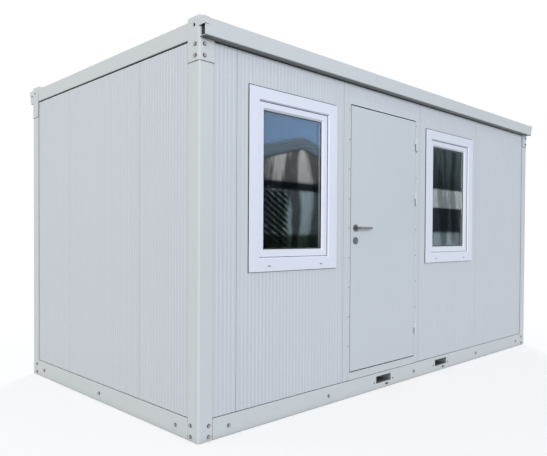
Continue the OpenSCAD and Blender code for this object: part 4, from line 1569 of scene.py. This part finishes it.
leaf_low, leaf_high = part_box("door_leaf")
leaf_mid = (leaf_low.y + leaf_high.y) / 2
half_fold = [(face_margin, 0.0), (leaf_fold, 0.0), (leaf_fold * fold_share, leaf_fold * fold_share),
             (0.0, leaf_fold)]
leaf_steps = [(inset, leaf_low.y + depth) for inset, depth in half_fold]
leaf_steps += [(0.0, leaf_mid - seam_half), (seam_in, leaf_mid), (0.0, leaf_mid + seam_half)]
leaf_steps += [(inset, leaf_high.y - depth) for inset, depth in reversed(half_fold)]
bm = bmesh.new()
leaf_rings = []
for inset, y in leaf_steps:
    x_low, x_high = leaf_low.x + inset, leaf_high.x - inset
    foot, head = leaf_low.z + inset, leaf_high.z - inset
    loop = ((x_low, foot), (x_high, foot), (x_high, head), (x_low, head))
    leaf_rings.append([bm.verts.new((x, y, z)) for x, z in loop])
join_rings(bm, leaf_rings)
made = piece("door_leaf_trays", bm, finishes["door_paint"], body="door")
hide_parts("door_leaf")
leaf_size = leaf_high - leaf_low
print("door leaf:", round(leaf_size.x * 1000), "by", round(leaf_size.z * 1000), "mm")

# %% [markdown]
# ## Rivets and rubber round the door
#
# Dome rivets run up both sides of the door frame at an even pitch. An Array modifier could repeat one
# rivet, but the loop that turns each dome also counts how many fit under the head.

# %% Door rivets
rivet_r = 0.0048
rivet_h = 0.0020
rivet_sides = 12
rivet_shares = ((1.0, 0.2), (0.85, 0.65), (0.5, 0.93), (0.15, 1.0))
rivet_pitch = 0.2185
rivet_start_z = 0.388
rivet_in = 0.009

left_low, left_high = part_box("door_jamb_left")
right_low, right_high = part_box("door_jamb_right")
dome = head_steps(rivet_shares, rivet_r, rivet_h)
bm = bmesh.new()
rivet_count = int((left_high.z - rivet_start_z) / rivet_pitch) + 1
for index in range(rivet_count):
    for x in (left_low.x + rivet_in, right_high.x - rivet_in):
        spot = (x, left_low.y, rivet_start_z + index * rivet_pitch)
        add_turned(bm, spot, (0, -1, 0), dome, rivet_sides)
piece("door_frame_rivets", bm, shaded_zinc)
print("rivets:", 2 * rivet_count)

# %% [markdown]
# Black rubber lies on the stop behind the leaf, under the head and along its edge, and a bead of sealant
# lies under the sill. They are real seals, and their black is also painted shade: without them the gaps
# round the door would let light through and look pale. They stay on the cabin when the door opens.

# %% Door seals
leaf_gap = 0.005
stop_strip_w = 0.010
stop_strip_t = 0.0040
head_strip_t = 0.0025
head_strip_in = 0.005
lip_h = 0.003
lip_up = 0.0008
lip_in = 0.003
lip_soft = lip_up / 2

head_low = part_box("door_head")[0]
sill_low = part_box("door_sill")[0]
stop_y = leaf_high.y + leaf_gap
strip_y = stop_y - stop_strip_t
head_foot = leaf_high.z + leaf_gap
bm = bmesh.new()
for x_low, x_high in ((left_high.x - stop_strip_w, left_high.x), (right_low.x, right_low.x + stop_strip_w)):
    add_box(bm, (x_low, strip_y, left_low.z), (x_high, stop_y, head_low.z), millimetre)
add_box(bm, (left_high.x, strip_y, head_low.z - stop_strip_w), (right_low.x, stop_y, head_low.z),
        millimetre)
add_box(bm, (leaf_low.x, leaf_low.y + head_strip_in, head_foot - head_strip_t),
        (leaf_high.x, strip_y - millimetre, head_foot), millimetre / 2)
add_box(bm, (leaf_low.x, head_low.y - lip_up, head_foot),
        (leaf_high.x, head_low.y + lip_in, head_foot + lip_h), lip_soft)
add_box(bm, (left_low.x, sill_low.y - lip_up, sill_low.z),
        (right_high.x, sill_low.y + lip_in, sill_low.z + lip_in), lip_soft)
piece("door_seals", bm, rubber)
print("seal on the stop:", stop_strip_t * 1000, "mm thick")

# %% [markdown]
# A sweep hangs from the foot of the leaf, with a thin lip on its face; its black is painted shade in the
# gap under the leaf. It could be part of the seals, but it has to swing with the door, so it is a piece of
# its own that rides on the door.

# %% Door sweep
sweep_h = 0.0040
sweep_in = 0.004
sweep_t = 0.012

sweep_from = leaf_low.x + sweep_in
sweep_to = leaf_high.x - sweep_in
bm = bmesh.new()
add_box(bm, (sweep_from, leaf_low.y + sweep_in, leaf_low.z - sweep_h),
        (sweep_to, leaf_low.y + sweep_in + sweep_t, leaf_low.z), millimetre / 2)
add_box(bm, (sweep_from, leaf_low.y - lip_up, leaf_low.z),
        (sweep_to, leaf_low.y + lip_in, leaf_low.z + lip_h), lip_soft)
piece("door_sweep", bm, rubber, body="door")
print("sweep under the leaf:", sweep_h * 1000, "mm")

# %% [markdown]
# ## Gutter ends
#
# The long roof rails are open gutters, and a folded ear caps only the upper part of each end. At the front
# a block of black foam sits behind the ear as painted shade: it makes the hollow at the end of the rail
# dark.
# At the rear the hollow is closed by a painted plate. Both could be cut to the section of the rail, but
# only their ends show, so a soft block that fills the width is enough.

# %% Gutter ends
stop_from = 0.014
stop_to = 0.060
stop_wall = 0.0015
stop_top = 0.075
plate_from = 0.001
plate_to = 0.005

rail_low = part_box("roof_rail_front")[0]
stop_foot = rail_low.z + stop_wall
stop_head = rail_low.z + stop_top
shade_block_bm = bmesh.new()
plate_bm = bmesh.new()
for end in (-1, 1):
    add_box(shade_block_bm, (end * (post_high.x - stop_to), rail_low.y + stop_wall, stop_foot),
            (end * (post_high.x - stop_from), -post_high.y, stop_head), 2 * millimetre)
    add_box(plate_bm, (end * (post_high.x - plate_to), post_high.y, stop_foot),
            (end * (post_high.x - plate_from), -rail_low.y - stop_wall, stop_head), millimetre / 2)
piece("gutter_shade_blocks", shade_block_bm, rubber)
piece("rear_gutter_plates", plate_bm, finishes["frame_steel"])
# The black blocks at the front are painted shade in the hollow at each gutter end.
print("gutter stops at the front: 2, plates at the rear: 2")

# %% [markdown]
# ## Roof screws and window drains
#
# Screws with rubber washers pin the roof sheet down on its ribs, in three rows. Instances would be lighter,
# but an exported part needs real meshes, so heads and washers are joined into one mesh each.

# %% Roof screws
screw_r = 0.0055
screw_h = 0.0060
screw_shares = ((1.0, 1.0), (0.8, 1.15))
collar_r = 0.0095
collar_t = 0.0025
collar_sides = 14
screw_seat = 0.9 * collar_t
collar_shares = ((1.0, 0.7), (0.8, 1.0))
row_share = 0.88
roof_rib_pitch = 0.207

sheet_low, sheet_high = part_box("roof_sheet")
collar = head_steps(collar_shares, collar_r, collar_t)
screw = head_steps(screw_shares, screw_r, screw_h, seat=screw_seat)
screw_bm = bmesh.new()
collar_bm = bmesh.new()
rib_count = int((sheet_high.x - sheet_low.x) / roof_rib_pitch)
rib_first = -(rib_count - 1) / 2 * roof_rib_pitch
for index in range(rib_count):
    for y in (sheet_low.y * row_share, 0.0, sheet_high.y * row_share):
        spot = (rib_first + index * roof_rib_pitch, y, sheet_high.z)
        add_turned(collar_bm, spot, (0, 0, 1), collar, collar_sides)
        add_turned(screw_bm, spot, (0, 0, 1), screw, hex_sides, chance.uniform(0, 1))
piece("roof_screws", screw_bm, shaded_zinc)
piece("roof_screw_washers", collar_bm, rubber)
print("roof ribs:", rib_count, "screws:", 3 * rib_count)

# %% [markdown]
# At the foot of each window frame two small slots let rain out of the profile. A slot could be cut with a
# Boolean, but at this size a thin black cap with round ends reads the same and leaves the frame's faces
# whole. The black of the cap is painted shade, standing for the dark inside of the slot.

# %% Window drains
drain_shift = 0.25
drain_up = 0.035
drain_half_w = 0.010
drain_r = 0.0028
drain_t = 0.0006
drain_steps = ((1.0, -1.0), (1.0, 0.6), (0.94, 1.0))
round_steps = 10

drain_rim = []
for end in (-1, 1):
    for k in range(round_steps + 1):
        angle = math.pi * (k / round_steps - 0.5)
        x = drain_half_w + drain_r * math.cos(angle)
        drain_rim.append((end * x, end * drain_r * math.sin(angle)))
bm = bmesh.new()
for hand in ("left", "right"):
    low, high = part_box("window_frame_" + hand)
    for sign in (-1, 1):
        middle = (low.x + high.x) / 2 + sign * drain_shift
        rings = []
        for size, out in drain_steps:
            y = low.y - out * drain_t
            rings.append([bm.verts.new((middle + size * x, y, low.z + drain_up + size * z))
                          for x, z in drain_rim])
        join_rings(bm, rings)
piece("window_drain_shade_caps", bm, rubber)
print("window drains: 4")

# %% [markdown]
# ## Size and finish
#
# The dressed cabin has to stay in the box of its solids, give or take what a bolt head stands proud.

# %% Size and finish
import json
